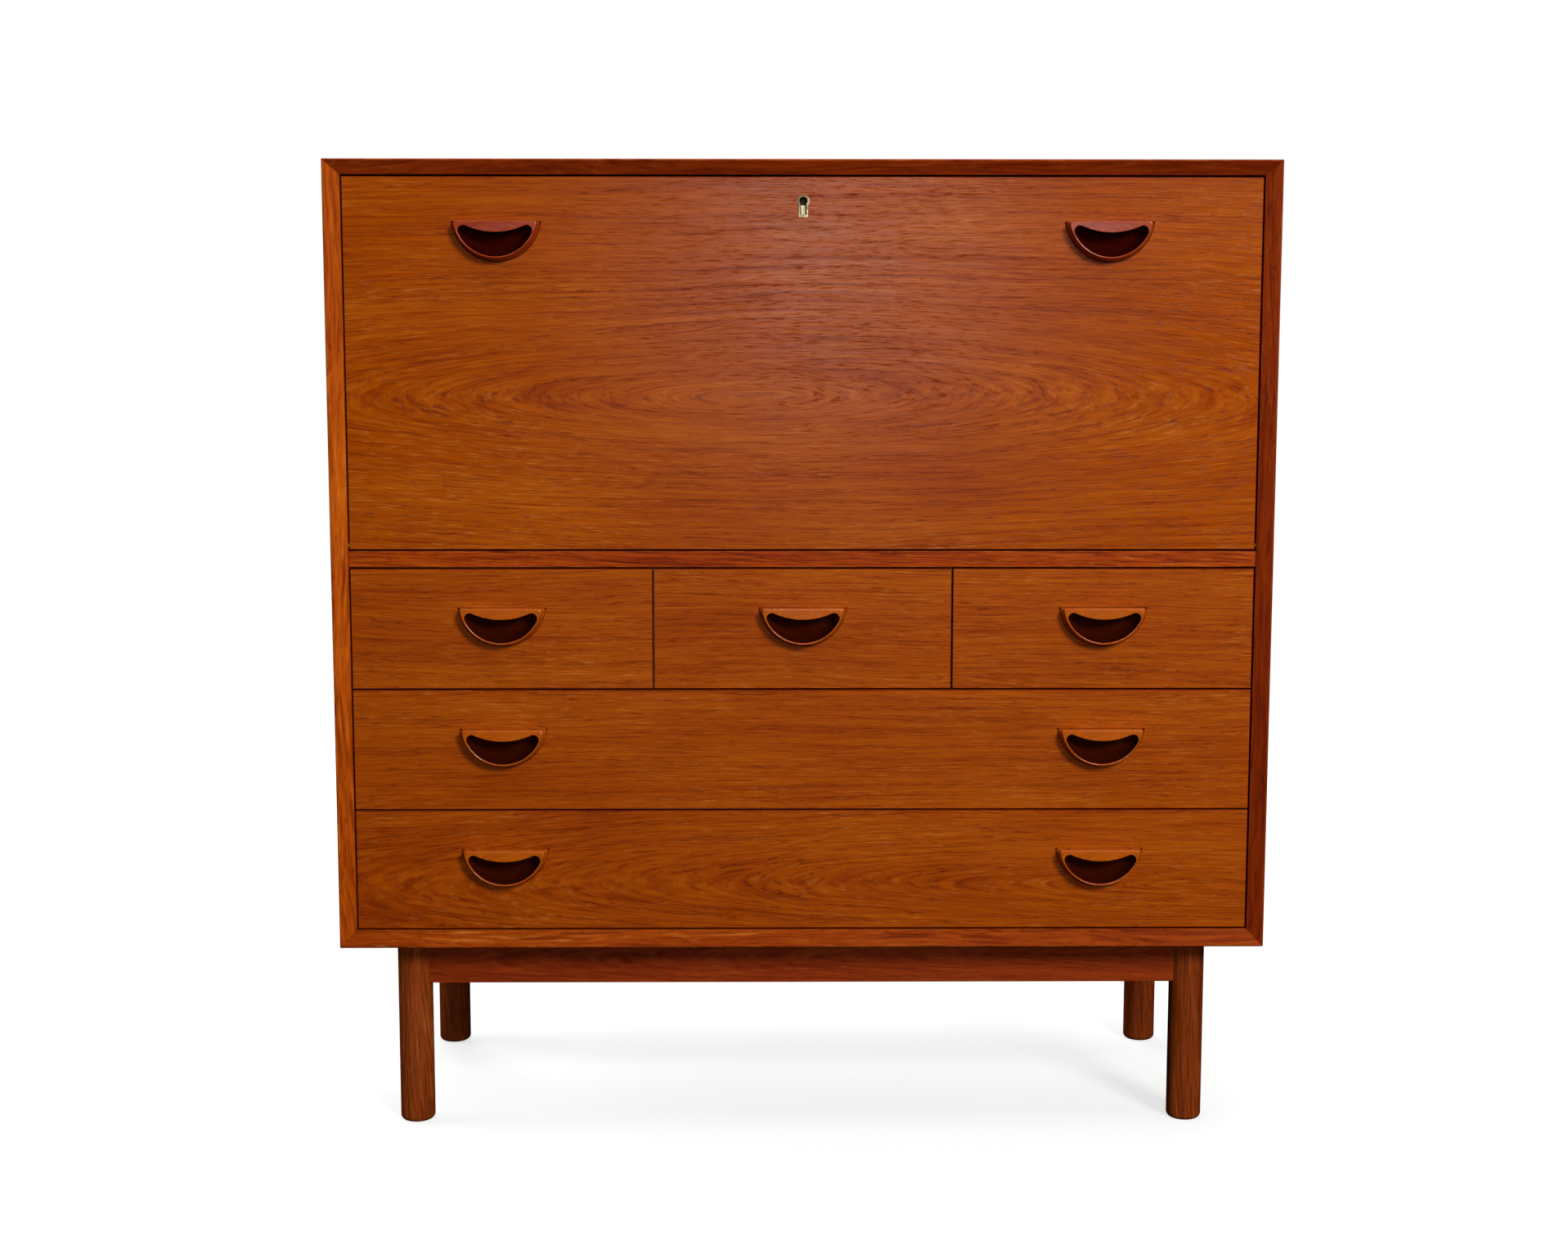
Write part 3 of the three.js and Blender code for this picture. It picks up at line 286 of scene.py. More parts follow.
def finish_mesh(name, bm, material, smooth_angle=35.0, weighted=True):
    bmesh.ops.recalc_face_normals(bm, faces=bm.faces)
    mesh = bpy.data.meshes.new(name)
    bm.to_mesh(mesh)
    bm.free()
    mesh.materials.append(material)
    mesh.shade_smooth()
    mesh.set_sharp_from_angle(angle=math.radians(smooth_angle))
    piece = bpy.data.objects.new(name, mesh)
    bpy.context.scene.collection.objects.link(piece)
    if weighted:
        modifier = piece.modifiers.new("even_normals", "WEIGHTED_NORMAL")
        modifier.keep_sharp = True
    return piece


def ease(bm, width, segments=2, above=30.0, keep=None):
    """Rounds every edge sharper than an angle, and marks the new faces in the edge attribute, which the
    finishes use for wear and, on the fronts, for painted shade.
    """
    layer = bm.faces.layers.float.get("edge") or bm.faces.layers.float.new("edge")
    edges = []
    for edge in bm.edges:
        if len(edge.link_faces) == 2 and edge.calc_face_angle(0.0) > math.radians(above):
            if keep is None or not keep(edge):
                edges.append(edge)
    made = bmesh.ops.bevel(bm, geom=edges, offset=width, segments=segments, profile=0.5,
                           affect="EDGES", clamp_overlap=True)
    for face in made["faces"]:
        face[layer] = 1.0
    return bm


def box_mesh(low, high):
    bm = bmesh.new()
    bmesh.ops.create_cube(bm, size=1.0)
    centre = (Vector(low) + Vector(high)) / 2
    size = Vector(high) - Vector(low)
    for vertex in bm.verts:
        vertex.co = centre + Vector(a * b for a, b in zip(vertex.co, size))
    return bm


def node_mesh(node):
    """A CAD node's mesh with its flat faces whole again."""
    bm = bmesh.new()
    bm.from_mesh(frame["nodes"][node].data)
    bmesh.ops.remove_doubles(bm, verts=bm.verts, dist=1e-6)
    bmesh.ops.dissolve_limit(bm, angle_limit=math.radians(0.5), verts=bm.verts, edges=bm.edges)
    return bm


def eased_copy(node, material, width=0.7 * MM):
    bm = ease(node_mesh(node), width)
    piece = finish_mesh(node + "_eased", bm, material)
    settle(piece, [node])
    return piece


def settle(piece, nodes, body=None):
    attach(piece, body or body_of(nodes[0]))
    if nodes:
        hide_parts(*nodes)


def lathe(profile, segments=64, axis="z", centre=(0, 0, 0)):
    """Pairs of radius and height turned about an axis; the first and last radius are 0."""
    bm = bmesh.new()
    rings = []
    for radius, height in profile:
        if radius < 1e-9:
            rings.append([bm.verts.new((0, 0, height))])
            continue
        ring = []
        for k in range(segments):
            turn = 2 * math.pi * k / segments
            ring.append(bm.verts.new((radius * math.cos(turn), radius * math.sin(turn), height)))
        rings.append(ring)
    for a, b in zip(rings, rings[1:]):
        for k in range(segments):
            n = (k + 1) % segments
            if len(a) == 1:
                bm.faces.new((a[0], b[n], b[k]))
            elif len(b) == 1:
                bm.faces.new((a[k], a[n], b[0]))
            else:
                bm.faces.new((a[k], a[n], b[n], b[k]))
    turns = {"z": Matrix.Identity(3), "y": Matrix.Rotation(-math.pi / 2, 3, "X"),
             "x": Matrix.Rotation(math.pi / 2, 3, "Y")}
    bmesh.ops.transform(bm, matrix=turns[axis].to_4x4(), verts=bm.verts)
    bmesh.ops.translate(bm, verts=bm.verts, vec=Vector(centre))
    bmesh.ops.recalc_face_normals(bm, faces=bm.faces)
    return bm


def stack(outlines):
    """A closed body lofted through outlines with the same number of points."""
    bm = bmesh.new()
    rings = [[bm.verts.new(p) for p in outline] for outline in outlines]
    count = len(rings[0])
    for a, b in zip(rings, rings[1:]):
        for k in range(count):
            n = (k + 1) % count
            bm.faces.new((a[k], a[n], b[n], b[k]))
    bm.faces.new(rings[0])
    bm.faces.new(rings[-1][::-1])
    bmesh.ops.recalc_face_normals(bm, faces=bm.faces)
    return bm


def rounding(radius, start, end, steps, centre=(0.0, 0.0)):
    """Points of an arc between two angles in degrees."""
    points = []
    for k in range(steps + 1):
        turn = math.radians(start + (end - start) * k / steps)
        points.append((centre[0] + radius * math.cos(turn), centre[1] + radius * math.sin(turn)))
    return points


def loose(bm, name):
    """A helper object for a boolean, removed again by carve()."""
    mesh = bpy.data.meshes.new(name)
    bmesh.ops.recalc_face_normals(bm, faces=bm.faces)
    bm.to_mesh(mesh)
    bm.free()
    thing = bpy.data.objects.new(name, mesh)
    bpy.context.scene.collection.objects.link(thing)
    return thing


def apply_all(thing):
    """The mesh that a helper object shows with its modifiers, as a bmesh; the helper is removed."""
    bpy.context.view_layer.update()
    shown = thing.evaluated_get(bpy.context.evaluated_depsgraph_get())
    bm = bmesh.new()
    bm.from_mesh(shown.to_mesh())
    shown.to_mesh_clear()
    mesh = thing.data
    bpy.data.objects.remove(thing)
    bpy.data.meshes.remove(mesh)
    return bm


def carve(bm, tools):
    """bm minus each of the tool bodies."""
    body = loose(bm, "carved_body")
    helpers = [loose(tool, f"carving_tool_{i}") for i, tool in enumerate(tools)]
    for i, helper in enumerate(helpers):
        modifier = body.modifiers.new(f"cut_{i}", "BOOLEAN")
        modifier.operation = "DIFFERENCE"
        modifier.solver = "EXACT"
        modifier.object = helper
    result = apply_all(body)
    for helper in helpers:
        mesh = helper.data
        bpy.data.objects.remove(helper)
        bpy.data.meshes.remove(mesh)
    return result


# ---------------------------------------------------------------------------------------------
# Places shared by several pieces, from the CAD nodes

case_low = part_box("case_bottom")[0]
case_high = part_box("case_top")[1]
fall_low, fall_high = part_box("fall_panel")
face_y = fall_low.y
arris_y = case_low.y


# ---------------------------------------------------------------------------------------------
# Mitred case: four boards with a rounded arris and a bevel that falls inwards

ARRIS = 2.5 * MM
INNER_ROUND = 0.6 * MM
BACK_ROUND = 1.0 * MM
MITRE_GAP = 0.1 * MM
bevel_back = 6.5 * MM


def frame_section(thickness, depth):
    """(inwards, back) points round a case board, from the outer back corner forwards."""
    points = rounding(BACK_ROUND, 90, 180, 3, (BACK_ROUND, depth - BACK_ROUND))
    points += rounding(ARRIS, 180, 270 - 5, 7, (ARRIS, ARRIS))
    slope = math.atan2(bevel_back, thickness - ARRIS)
    inner = (thickness, bevel_back)
    points.append((inner[0] - INNER_ROUND * math.cos(slope), inner[1] - INNER_ROUND * math.sin(slope)))
    points.append((inner[0] - 0.15 * INNER_ROUND, inner[1] + 0.25 * INNER_ROUND))
    points.append((inner[0], inner[1] + INNER_ROUND))
    points.append((thickness, depth - BACK_ROUND * 0.5))
    points.append((thickness - BACK_ROUND * 0.5, depth))
    return points


def mitred_board(name, node, where, material):
    """where is top, bottom, left or right."""
    low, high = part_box(node)
    depth = high.y - low.y
    if where in ("top", "bottom"):
        thickness = high.z - low.z
        side_low, side_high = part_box("case_side_left")
        other = side_high.x - side_low.x
        steps = 48
    else:
        thickness = high.x - low.x
        steps = 40
    bm = bmesh.new()
    rings = []
    section = frame_section(thickness, depth)
    top_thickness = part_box("case_top")[1].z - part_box("case_top")[0].z
    bottom_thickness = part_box("case_bottom")[1].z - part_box("case_bottom")[0].z
    for k in range(steps + 1):
        ring = []
        share = k / steps
        for inwards, back in section:
            if where in ("top", "bottom"):
                cut = inwards * other / thickness + MITRE_GAP
                x0, x1 = case_low.x + cut, case_high.x - cut
                x = x0 + (x1 - x0) * share
                z = case_high.z - inwards if where == "top" else case_low.z + inwards
            else:
                low_cut = inwards * bottom_thickness / thickness + MITRE_GAP
                high_cut = inwards * top_thickness / thickness + MITRE_GAP
                z0, z1 = case_low.z + low_cut, case_high.z - high_cut
                z = z0 + (z1 - z0) * share
                x = case_low.x + inwards if where == "left" else case_high.x - inwards
            ring.append(bm.verts.new((x, arris_y + back, z)))
        rings.append(ring)
    count = len(section)
    layer = bm.faces.layers.float.new("edge")
    for a, b in zip(rings, rings[1:]):
        for k in range(count):
            n = (k + 1) % count
            face = bm.faces.new((a[k], a[n], b[n], b[k]))
            if 4 <= k < 11 or k in (12, 13):
                face[layer] = 1.0
    bm.faces.new(rings[0])
    bm.faces.new(rings[-1][::-1])
    if where == "top":
        waste_low, waste_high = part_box("strike_plate")
        grow = 0.3 * MM
        low_corner = Vector((waste_low.x - grow, waste_low.y - grow, waste_low.z - 1 * MM))
        high_corner = Vector((waste_high.x + grow, waste_high.y + grow, waste_high.z + grow))
        bolt_low, bolt_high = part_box("lock_bolt")
        room_low = Vector((bolt_low.x - MM, bolt_low.y - MM, bolt_high.z))
        room_high = Vector((bolt_high.x + MM, bolt_high.y + MM, bolt_high.z + 10 * MM))
        bm = carve(bm, [box_mesh(low_corner, high_corner), box_mesh(room_low, room_high)])
    piece = finish_mesh(name, bm, material, 40.0)
    settle(piece, [node])
    return piece


# painted light and shade: the top and right boards take darker teak, facing away from the key light, and
# the left board takes brighter teak, facing it
mitred_board("case_top_board", "case_top", "top",
             wood("teak_top_board", TEAK_TOP_SHADE, "xy", eye=(0.1, -0.02), longer=11, rings=60, seed=3.1,
                  figure=0.3, streak=0.5, pores=0.5, gloss=0.56, wear=0.35, sheen=0.02))
mitred_board("case_bottom_board", "case_bottom", "bottom",
             wood("teak_bottom_board", TEAK_BASEBOARD, "xy", eye=(-0.5, 0.1), longer=30, rings=60,
                  seed=7.7, figure=0.3, streak=0.7, pores=0.5, gloss=0.5, wear=0.35, sheen=0.02))
mitred_board("case_left_board", "case_side_left", "left",
             wood("teak_left_board", TEAK_LIT_ORANGE, "zy", eye=(0.7, 0.02), longer=11, rings=70,
                  seed=11.3, figure=0.5, streak=0.8, pores=0.5, gloss=0.5, wear=0.35, sheen=0.02))
mitred_board("case_right_board", "case_side_right", "right",
             wood("teak_right_board", TEAK_SHADED_RED, "zy", eye=(0.6, 0.05), longer=12, rings=70,
                  seed=17.9, figure=0.4, streak=0.6, pores=0.5, gloss=0.40))


# ---------------------------------------------------------------------------------------------
# Half-moon pulls, carved once and shared by all nine

PULL_RADIUS = 51 * MM
PULL_FLARE = 3.4 * MM
PULL_PROUD = 14 * MM
PULL_LET_IN = 10 * MM
CENTRE_UP = 6 * MM
RIM = 1.9 * MM
CROWN = 1.1 * MM
CORNER = 3.2 * MM
MOUTH_ROUND = 0.7 * MM
POCKET_CURVE = 9 * MM
LIP_LIFT = 5 * MM
LIP_SHARE = 0.2
POCKET_FLOOR = 6 * MM
LIP_RADIUS = 80 * MM
LIP_DROP = 12.6 * MM
HORN_RADIUS = 6.2 * MM
FIT = 0.3 * MM


def mouth_outline(y, grow=0.0, shrink=0.0, rise=0.0):
    """The smile-shaped mouth at one depth. grow offsets it all round, shrink pulls its low arc in
    and rise lifts its upper lip."""
    low_radius = PULL_RADIUS - PULL_FLARE - RIM - shrink
    lip_z = LIP_RADIUS - LIP_DROP + rise
    to_low = low_radius - HORN_RADIUS
    to_lip = LIP_RADIUS + HORN_RADIUS
    horn_z = (to_low ** 2 - to_lip ** 2 + lip_z ** 2 - CENTRE_UP ** 2) / (2 * (lip_z - CENTRE_UP))
    horn_x = math.sqrt(to_low ** 2 - (horn_z - CENTRE_UP) ** 2)
    low_angle = math.degrees(math.atan2(horn_z - CENTRE_UP, horn_x))
    lip_angle = math.degrees(math.atan2(horn_z - lip_z, horn_x))
    horn = HORN_RADIUS + grow
    points = rounding(low_radius + grow, -180 - low_angle, low_angle, 56, (0, CENTRE_UP))
    points += rounding(horn, low_angle, lip_angle + 180, 12, (horn_x, horn_z))[1:]
    points += rounding(LIP_RADIUS - grow, lip_angle, -180 - lip_angle, 36, (0, lip_z))[1:]
    points += rounding(horn, -lip_angle, 180 - low_angle, 12, (-horn_x, horn_z))[1:-1]
    return [(x, y, z) for x, z in points]


def half_moon_outline(y, radius, top, corner):
    """A D lying on its back at one depth: straight along the top, with rounded top corners."""
    corner_z = top - corner
    reach = radius - corner
    corner_x = math.sqrt(reach ** 2 - (corner_z - CENTRE_UP) ** 2)
    angle = math.degrees(math.atan2(corner_z - CENTRE_UP, corner_x))
    points = rounding(radius, -180 - angle, angle, 80, (0, CENTRE_UP))
    points += rounding(corner, angle, 90, 10, (corner_x, corner_z))[1:]
    across = 24
    points += [(corner_x - 2 * corner_x * k / across, top) for k in range(1, across)]
    points += rounding(corner, 90, 180 - angle, 10, (-corner_x, corner_z))[:-1]
    return [(x, y, z) for x, z in points]


def build_pull_mesh():
    rim_radius = PULL_RADIUS - PULL_FLARE
    shell = [(-PULL_PROUD + CROWN * (1 - math.sin(math.radians(t))),
              rim_radius - CROWN * (1 - math.cos(math.radians(t))),
              -CROWN * (1 - math.cos(math.radians(t)))) for t in (90, 72, 54, 36, 18, 0)]
    for k in range(1, 7):
        share = k / 6
        shell.append((-PULL_PROUD + CROWN + (PULL_PROUD - CROWN) * share,
                      rim_radius + PULL_FLARE * share ** 1.4, 0.0))
    shell.append((PULL_LET_IN, PULL_RADIUS, 0.0))
    body = stack([half_moon_outline(y, radius, top, CORNER) for y, radius, top in shell])
    layers = [mouth_outline(-PULL_PROUD - MM, MOUTH_ROUND)]
    for t in (0, 18, 36, 54, 72, 90):
        turn = math.radians(t)
        layers.append(mouth_outline(-PULL_PROUD + MOUTH_ROUND * (1 - math.cos(turn)) + 1e-6,
                                    MOUTH_ROUND * (1 - math.sin(turn))))
    start = MOUTH_ROUND / (PULL_PROUD + POCKET_FLOOR)
    steps = 14
    for k in range(1, steps + 1):
        share = start + (1 - start) * k / steps
        lift = min(1.0, max(0.0, (share - LIP_SHARE) / 0.25))
        lift = LIP_LIFT * lift * lift * (3 - 2 * lift)
        y = -PULL_PROUD + (PULL_PROUD + POCKET_FLOOR) * share
        layers.append(mouth_outline(y, 0.0, POCKET_CURVE * share ** 2.6, lift))
    bm = carve(body, [stack(layers)])
    inner = PULL_RADIUS - PULL_FLARE - RIM
    # mask for the painted shade in the pocket: vertices inside the rim and below z = -3 mm, rising from 0
    # at 0.8 mm behind the face to 1 at 3.8 mm
    depth = bm.verts.layers.float.new("pocket_shade")
    for vertex in bm.verts:
        out = math.hypot(vertex.co.x, vertex.co.z - CENTRE_UP)
        if out < inner + 0.4 * MM and vertex.co.z < -3.0 * MM:
            vertex[depth] = min(1.0, max(0.0, (vertex.co.y + PULL_PROUD - 0.8 * MM) / (3 * MM)))
    return bm


def shared_pull(name, material):
    bm = pull_blank.copy()
    piece = finish_mesh(name, bm, material, 40.0)
    mesh = piece.data
    bpy.data.objects.remove(piece)
    return mesh


pull_blank = build_pull_mesh()
PULL_BROWN = (srgb(112, 34, 2), srgb(160, 70, 5), srgb(178, 88, 12), srgb(200, 120, 54))
PULL_RED = (srgb(80, 16, 3), srgb(134, 42, 8), srgb(152, 56, 14), srgb(178, 92, 50))
pull_meshes = {}
for kind, tones, seed in (("drawer", PULL_BROWN, 5.0), ("fall", PULL_RED, 9.0)):
    finish = wood("teak_pull_" + kind, tones, "x", eye=(0.0, -0.01), longer=3.0, rings=160,
                  seed=seed, figure=0.3, streak=0.35, pores=0.2, gloss=0.19, wear=0.0, sheen=0.4,
                  paint_pocket_shade=True, relief=0.1)
    pull_meshes[kind] = shared_pull("pull_" + kind, finish)
pull_blank.free()


def pull_place(node):
    low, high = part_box(node)
    return Vector(((low.x + high.x) / 2, face_y, high.z))


def place_pull(node):
    piece = bpy.data.objects.new(node + "_carved", pull_meshes[node.split("_")[0]])
    bpy.context.scene.collection.objects.link(piece)
    piece.modifiers.new("even_normals", "WEIGHTED_NORMAL").keep_sharp = True
    piece.location = pull_place(node)
    settle(piece, [node])


def pull_mortise(node):
    """The D-shaped recess behind a pull."""
    radius = PULL_RADIUS + FIT
    top = FIT
    angle = math.degrees(math.asin((top - CENTRE_UP) / radius))
    outline = rounding(radius, -180 - angle, angle, 72, (0, CENTRE_UP))
    place = pull_place(node)
    layers = []
    for y in (-1 * MM, PULL_LET_IN + FIT):
        layers.append([(place.x + x, place.y + y, place.z + z) for x, z in outline])
    return stack(layers)


# ---------------------------------------------------------------------------------------------
# Fronts

FRONT_EASE = 0.6 * MM
# painted shade: the dark red of the shaded gaps between fronts, put on their eased edges
GAP_SHADE = srgb(104, 16, 0)


def front_board(name, node, pulls, material, extra=()):
    low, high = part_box(node)
    bm = ease(box_mesh(low, high), FRONT_EASE, 3)
    bm = carve(bm, [pull_mortise(pull) for pull in pulls] + list(extra))
    piece = finish_mesh(name, bm, material, 30.0, weighted=False)
    piece.modifiers.new("even_normals", "WEIGHTED_NORMAL").keep_sharp = True
    return piece


for row, tones, eye, longer, rings, seed in (
    ("drawer_small_left", TEAK, (-0.9, 0.44), 22, 100, 1.3),
    ("drawer_small_middle", TEAK, (0.35, 0.74), 20, 120, 4.9),
    ("drawer_small_right", TEAK, (-0.1, 0.47), 18, 110, 8.2),
    ("drawer_wide_upper", TEAK, (0.9, 0.3), 26, 90, 13.4),
    ("drawer_wide_lower", TEAK, (0.46, 0.30), 13, 90, 19.6),
):
    pulls = [n for n in frame["nodes"] if n.startswith(row + "_pull")]
    finish = wood("teak_" + row, tones, "x", eye=eye, longer=longer, rings=rings, seed=seed,
                  figure=0.6, streak=0.5, pores=0.6, gloss=0.42, gap_shade=GAP_SHADE)
    low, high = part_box(row + "_front")
    bottom_low, bottom_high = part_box(row + "_bottom")
    grow = Vector((FIT, FIT, FIT))
    piece = front_board(row + "_face", row + "_front", pulls, finish,
                        [box_mesh(bottom_low - grow, bottom_high + grow)])
    settle(piece, [row + "_front"])
    for pull in pulls:
        place_pull(pull)


# ---------------------------------------------------------------------------------------------
# Fall front with its keyhole plate

KEY_R = 4.6 * MM
KEY_HALF = 3.6 * MM
KEY_DROP = 15.5 * MM
BORE_RADIUS = 2.5 * MM
KEY_DOWN = 27 * MM
key_z = fall_high.z - KEY_DOWN
plate_low, plate_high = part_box("escutcheon")


def key_outline(half, radius, drop, grow=0.0, steps=24):
    """A round head over a straight slot, in X and Z about the keyhole's centre."""
    half, radius, drop = half + grow, radius + grow, drop + grow
    shoulder = -math.degrees(math.acos(min(1.0, half / radius)))
    points = rounding(radius, shoulder, 180 - shoulder, steps)
    corner = 0.8 * MM
    points += rounding(corner, 180, 270, 4, (-half + corner, -drop + corner))
    points += rounding(corner, 270, 360, 4, (half - corner, -drop + corner))
    return points


def key_body(outline, y0, y1):
    return stack([[(x, y, key_z + z) for x, z in outline] for y in (y0, y1)])


plate_radius = (plate_high.x - plate_low.x) / 2
PLATE_HALF = 5.4 * MM
plate_drop = key_z - plate_low.z
plate_outline = key_outline(PLATE_HALF, plate_radius, plate_drop)
hole_outline = key_outline(KEY_HALF, KEY_R, KEY_DROP)
lock_low, lock_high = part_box("lock_body")
grow = Vector((FIT, FIT, FIT))
fall_tools = [
    key_body(key_outline(PLATE_HALF, plate_radius, plate_drop, FIT), face_y - MM, plate_high.y + FIT),
    key_body(hole_outline, face_y - MM, lock_low.y + MM),
    box_mesh(lock_low - grow, lock_high + Vector((FIT, 5 * MM, 5 * MM))),
]
for word, side in SIDES:
    pin_low, pin_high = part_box("hinge_pin_" + word)
    tip = pin_low.x if side > 0 else pin_high.x
    middle_y = (pin_low.y + pin_high.y) / 2
    middle_z = (pin_low.z + pin_high.z) / 2
    end = side * (fall_high.x + 2 * MM)
    lo, hi = min(tip, end), max(tip, end)
    profile = [(0, lo - FIT), (BORE_RADIUS, lo - FIT), (BORE_RADIUS, hi), (0, hi)]
    bore = lathe(profile, 24, "x", (0, middle_y, middle_z))
    fall_tools.append(bore)
fall_finish = wood("teak_fall", TEAK, "x", eye=(-0.06, 0.865), longer=8.5, rings=95, seed=23.0,
                   figure=0.7, streak=0.5, pores=0.6, gloss=0.25, wear=0.35, sheen=0.07, gap_shade=GAP_SHADE)
fall_pulls = ["fall_pull_left", "fall_pull_right"]
fall = front_board("fall_board", "fall_panel", fall_pulls, fall_finish, fall_tools)
settle(fall, ["fall_panel"])
for word, side in SIDES:
    place_pull("fall_pull_" + word)

brass_worn = metal("brass_worn", srgb(208, 176, 110), srgb(128, 100, 58), 0.28)
brass_pale = metal("brass_pale", srgb(184, 166, 130), srgb(118, 98, 68), 0.42)
brass_strip = metal("brass_strip", srgb(238, 230, 204), srgb(206, 192, 160), 0.42)
iron_dark = metal("iron_dark", srgb(70, 58, 46), srgb(24, 18, 14), 0.45)
brass_dark = metal("brass_dark", srgb(176, 142, 80), srgb(92, 70, 40), 0.32)
plate = key_body(plate_outline, plate_low.y, plate_high.y)
plate = carve(plate, [key_body(hole_outline, plate_low.y - MM, plate_high.y + MM)])
ease(plate, 0.25 * MM, 2, 60.0)
escutcheon = finish_mesh("escutcheon_ring", plate, brass_pale)
settle(escutcheon, ["escutcheon"])

# a pale strip on the lock's face shows at the bottom of the keyhole's slot, which stays open
STRIP_HALF = 2.25 * MM
STRIP_THICK = 0.14 * MM
STRIP_OFF_LOCK = 0.02 * MM
STRIP_ABOVE_END = 0.6 * MM
STRIP_BELOW_KEY = 4.4 * MM
strip_back = lock_low.y - STRIP_OFF_LOCK
strip_low = Vector((-STRIP_HALF, strip_back - STRIP_THICK, key_z - KEY_DROP + STRIP_ABOVE_END))
strip_high = Vector((STRIP_HALF, strip_back, key_z - STRIP_BELOW_KEY))
strip = finish_mesh("lock_face_strip", ease(box_mesh(strip_low, strip_high), 0.05 * MM), brass_strip)
settle(strip, [], body_of("lock_body"))


# ---------------------------------------------------------------------------------------------
# Inner boards, base and fittings: the CAD shapes with eased edges

inside_teak = wood("teak_inside", TEAK, "x", eye=(0.2, 0.1), longer=20, rings=70, seed=31.0,
                   figure=0.4, streak=0.6, pores=0.5, gloss=0.46)
desk_teak = wood("teak_desk_deck", TEAK, "xy", eye=(0.1, 0.05), longer=12, rings=70, seed=37.0,
                 figure=0.6, streak=0.5, pores=0.5, gloss=0.42)
rail_teak = wood("teak_desk_rail", TEAK_RAIL, "x", eye=(-0.9, 0.64), longer=25, rings=90, seed=41.0,
                 figure=0.5, streak=0.9, pores=0.6, gloss=0.42)
# the back panel reuses the darker teak of painted shade
back_teak = wood("teak_back_panel", TEAK_SHADED_RED, "z", eye=(0.6, 0.05), longer=10, rings=50, seed=43.0,
                 figure=0.7, streak=0.6, pores=0.5, gloss=0.6)
base_teak = wood("teak_base", TEAK_APRON, "x", eye=(0.7, 0.2), longer=25, rings=80, seed=47.0,
                 figure=0.3, streak=0.5, pores=0.5, gloss=0.48)
base_teak_side = wood("teak_base_side", TEAK_APRON, "y", eye=(0.7, 0.2), longer=25, rings=80,
                      seed=48.0, figure=0.3, streak=0.5, pores=0.5, gloss=0.48)
oak_board = wood("oak_boards", OAK, "xy", eye=(0.4, 0.0), longer=15, rings=60, seed=53.0,
                 figure=0.4, streak=0.5, pores=0.45, gloss=0.6, wear=0.1)
oak_upright = wood("oak_partitions", OAK, "y", eye=(0.4, 0.6), longer=15, rings=60, seed=54.0,
                   figure=0.4, streak=0.5, pores=0.45, gloss=0.6, wear=0.1)
oak_box = wood("oak_drawer_boxes", OAK, "y", eye=(0.6, 0.4), longer=15, rings=80, seed=57.0,
               figure=0.4, streak=0.5, pores=0.45, gloss=0.58, wear=0.15)

for node, finish, slot in (
    ("desk_rail", rail_teak, "teak_front"),
    ("desk_deck", desk_teak, "teak_inside"),
    ("pigeonhole_shelf", inside_teak, "teak_inside"),
    ("pigeonhole_divider_left", inside_teak, "teak_inside"),
    ("pigeonhole_divider_middle", inside_teak, "teak_inside"),
    ("pigeonhole_divider_right", inside_teak, "teak_inside"),
    ("back_panel", back_teak, "teak_back"),
    ("partition_left", oak_upright, "oak"),
    ("partition_right", oak_upright, "oak"),
    ("shelf_between_wide_drawers", oak_board, "oak"),
    ("shelf_under_small_drawers", oak_board, "oak"),
    ("base_rail_front", base_teak, "teak_base"),
    ("base_rail_back", base_teak, "teak_base"),
    ("base_rail_left", base_teak_side, "teak_base"),
    ("base_rail_right", base_teak_side, "teak_base"),
    ("lock_body", iron_dark, "brass"),
    ("lock_bolt", brass_worn, "brass"),
    ("strike_plate", brass_worn, "brass"),
    ("stay_left", brass_worn, "brass"),
    ("stay_right", brass_worn, "brass"),
    ("stay_bracket_left", brass_dark, "brass"),
    ("stay_bracket_right", brass_dark, "brass"),
    ("stay_pin_left", brass_worn, "brass"),
    ("stay_pin_right", brass_worn, "brass"),
    ("hinge_pin_left", brass_dark, "brass"),
    ("hinge_pin_right", brass_dark, "brass"),
):
    eased_copy(node, finish, 0.35 * MM if slot == "brass" else 0.8 * MM)

for row in ROWS:
    eased_copy(row + "_box", oak_box, 0.8 * MM)
    eased_copy(row + "_bottom", oak_board, 0.3 * MM)

for end in ("front", "back"):
    for word, side in SIDES:
        node = f"leg_{end}_{word}"
        low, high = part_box(node)
        radius = (high.x - low.x) / 2
        foot = 6 * MM
        profile = [(0, 0)] + [(radius - foot + x, foot + z) for x, z in rounding(foot, -90, 0, 8)]
        profile += [(radius, foot + (high.z - foot) * k / 12) for k in range(1, 13)]
        profile.append((0, high.z))
        centre = ((low.x + high.x) / 2, (low.y + high.y) / 2, 0)
        finish = wood("teak_" + node, TEAK_AGED, "z", eye=(0.4, centre[0] + 0.03), longer=14,
                      rings=150, seed=61.0 + 3 * side, figure=0.4, streak=0.7, pores=0.5, gloss=0.5,
                      wear=0.3)
        leg = finish_mesh(node + "_turned", lathe(profile, 96, "z", centre), finish, 50.0, weighted=False)
        settle(leg, [node])


# ---------------------------------------------------------------------------------------------
# Floor, light and camera

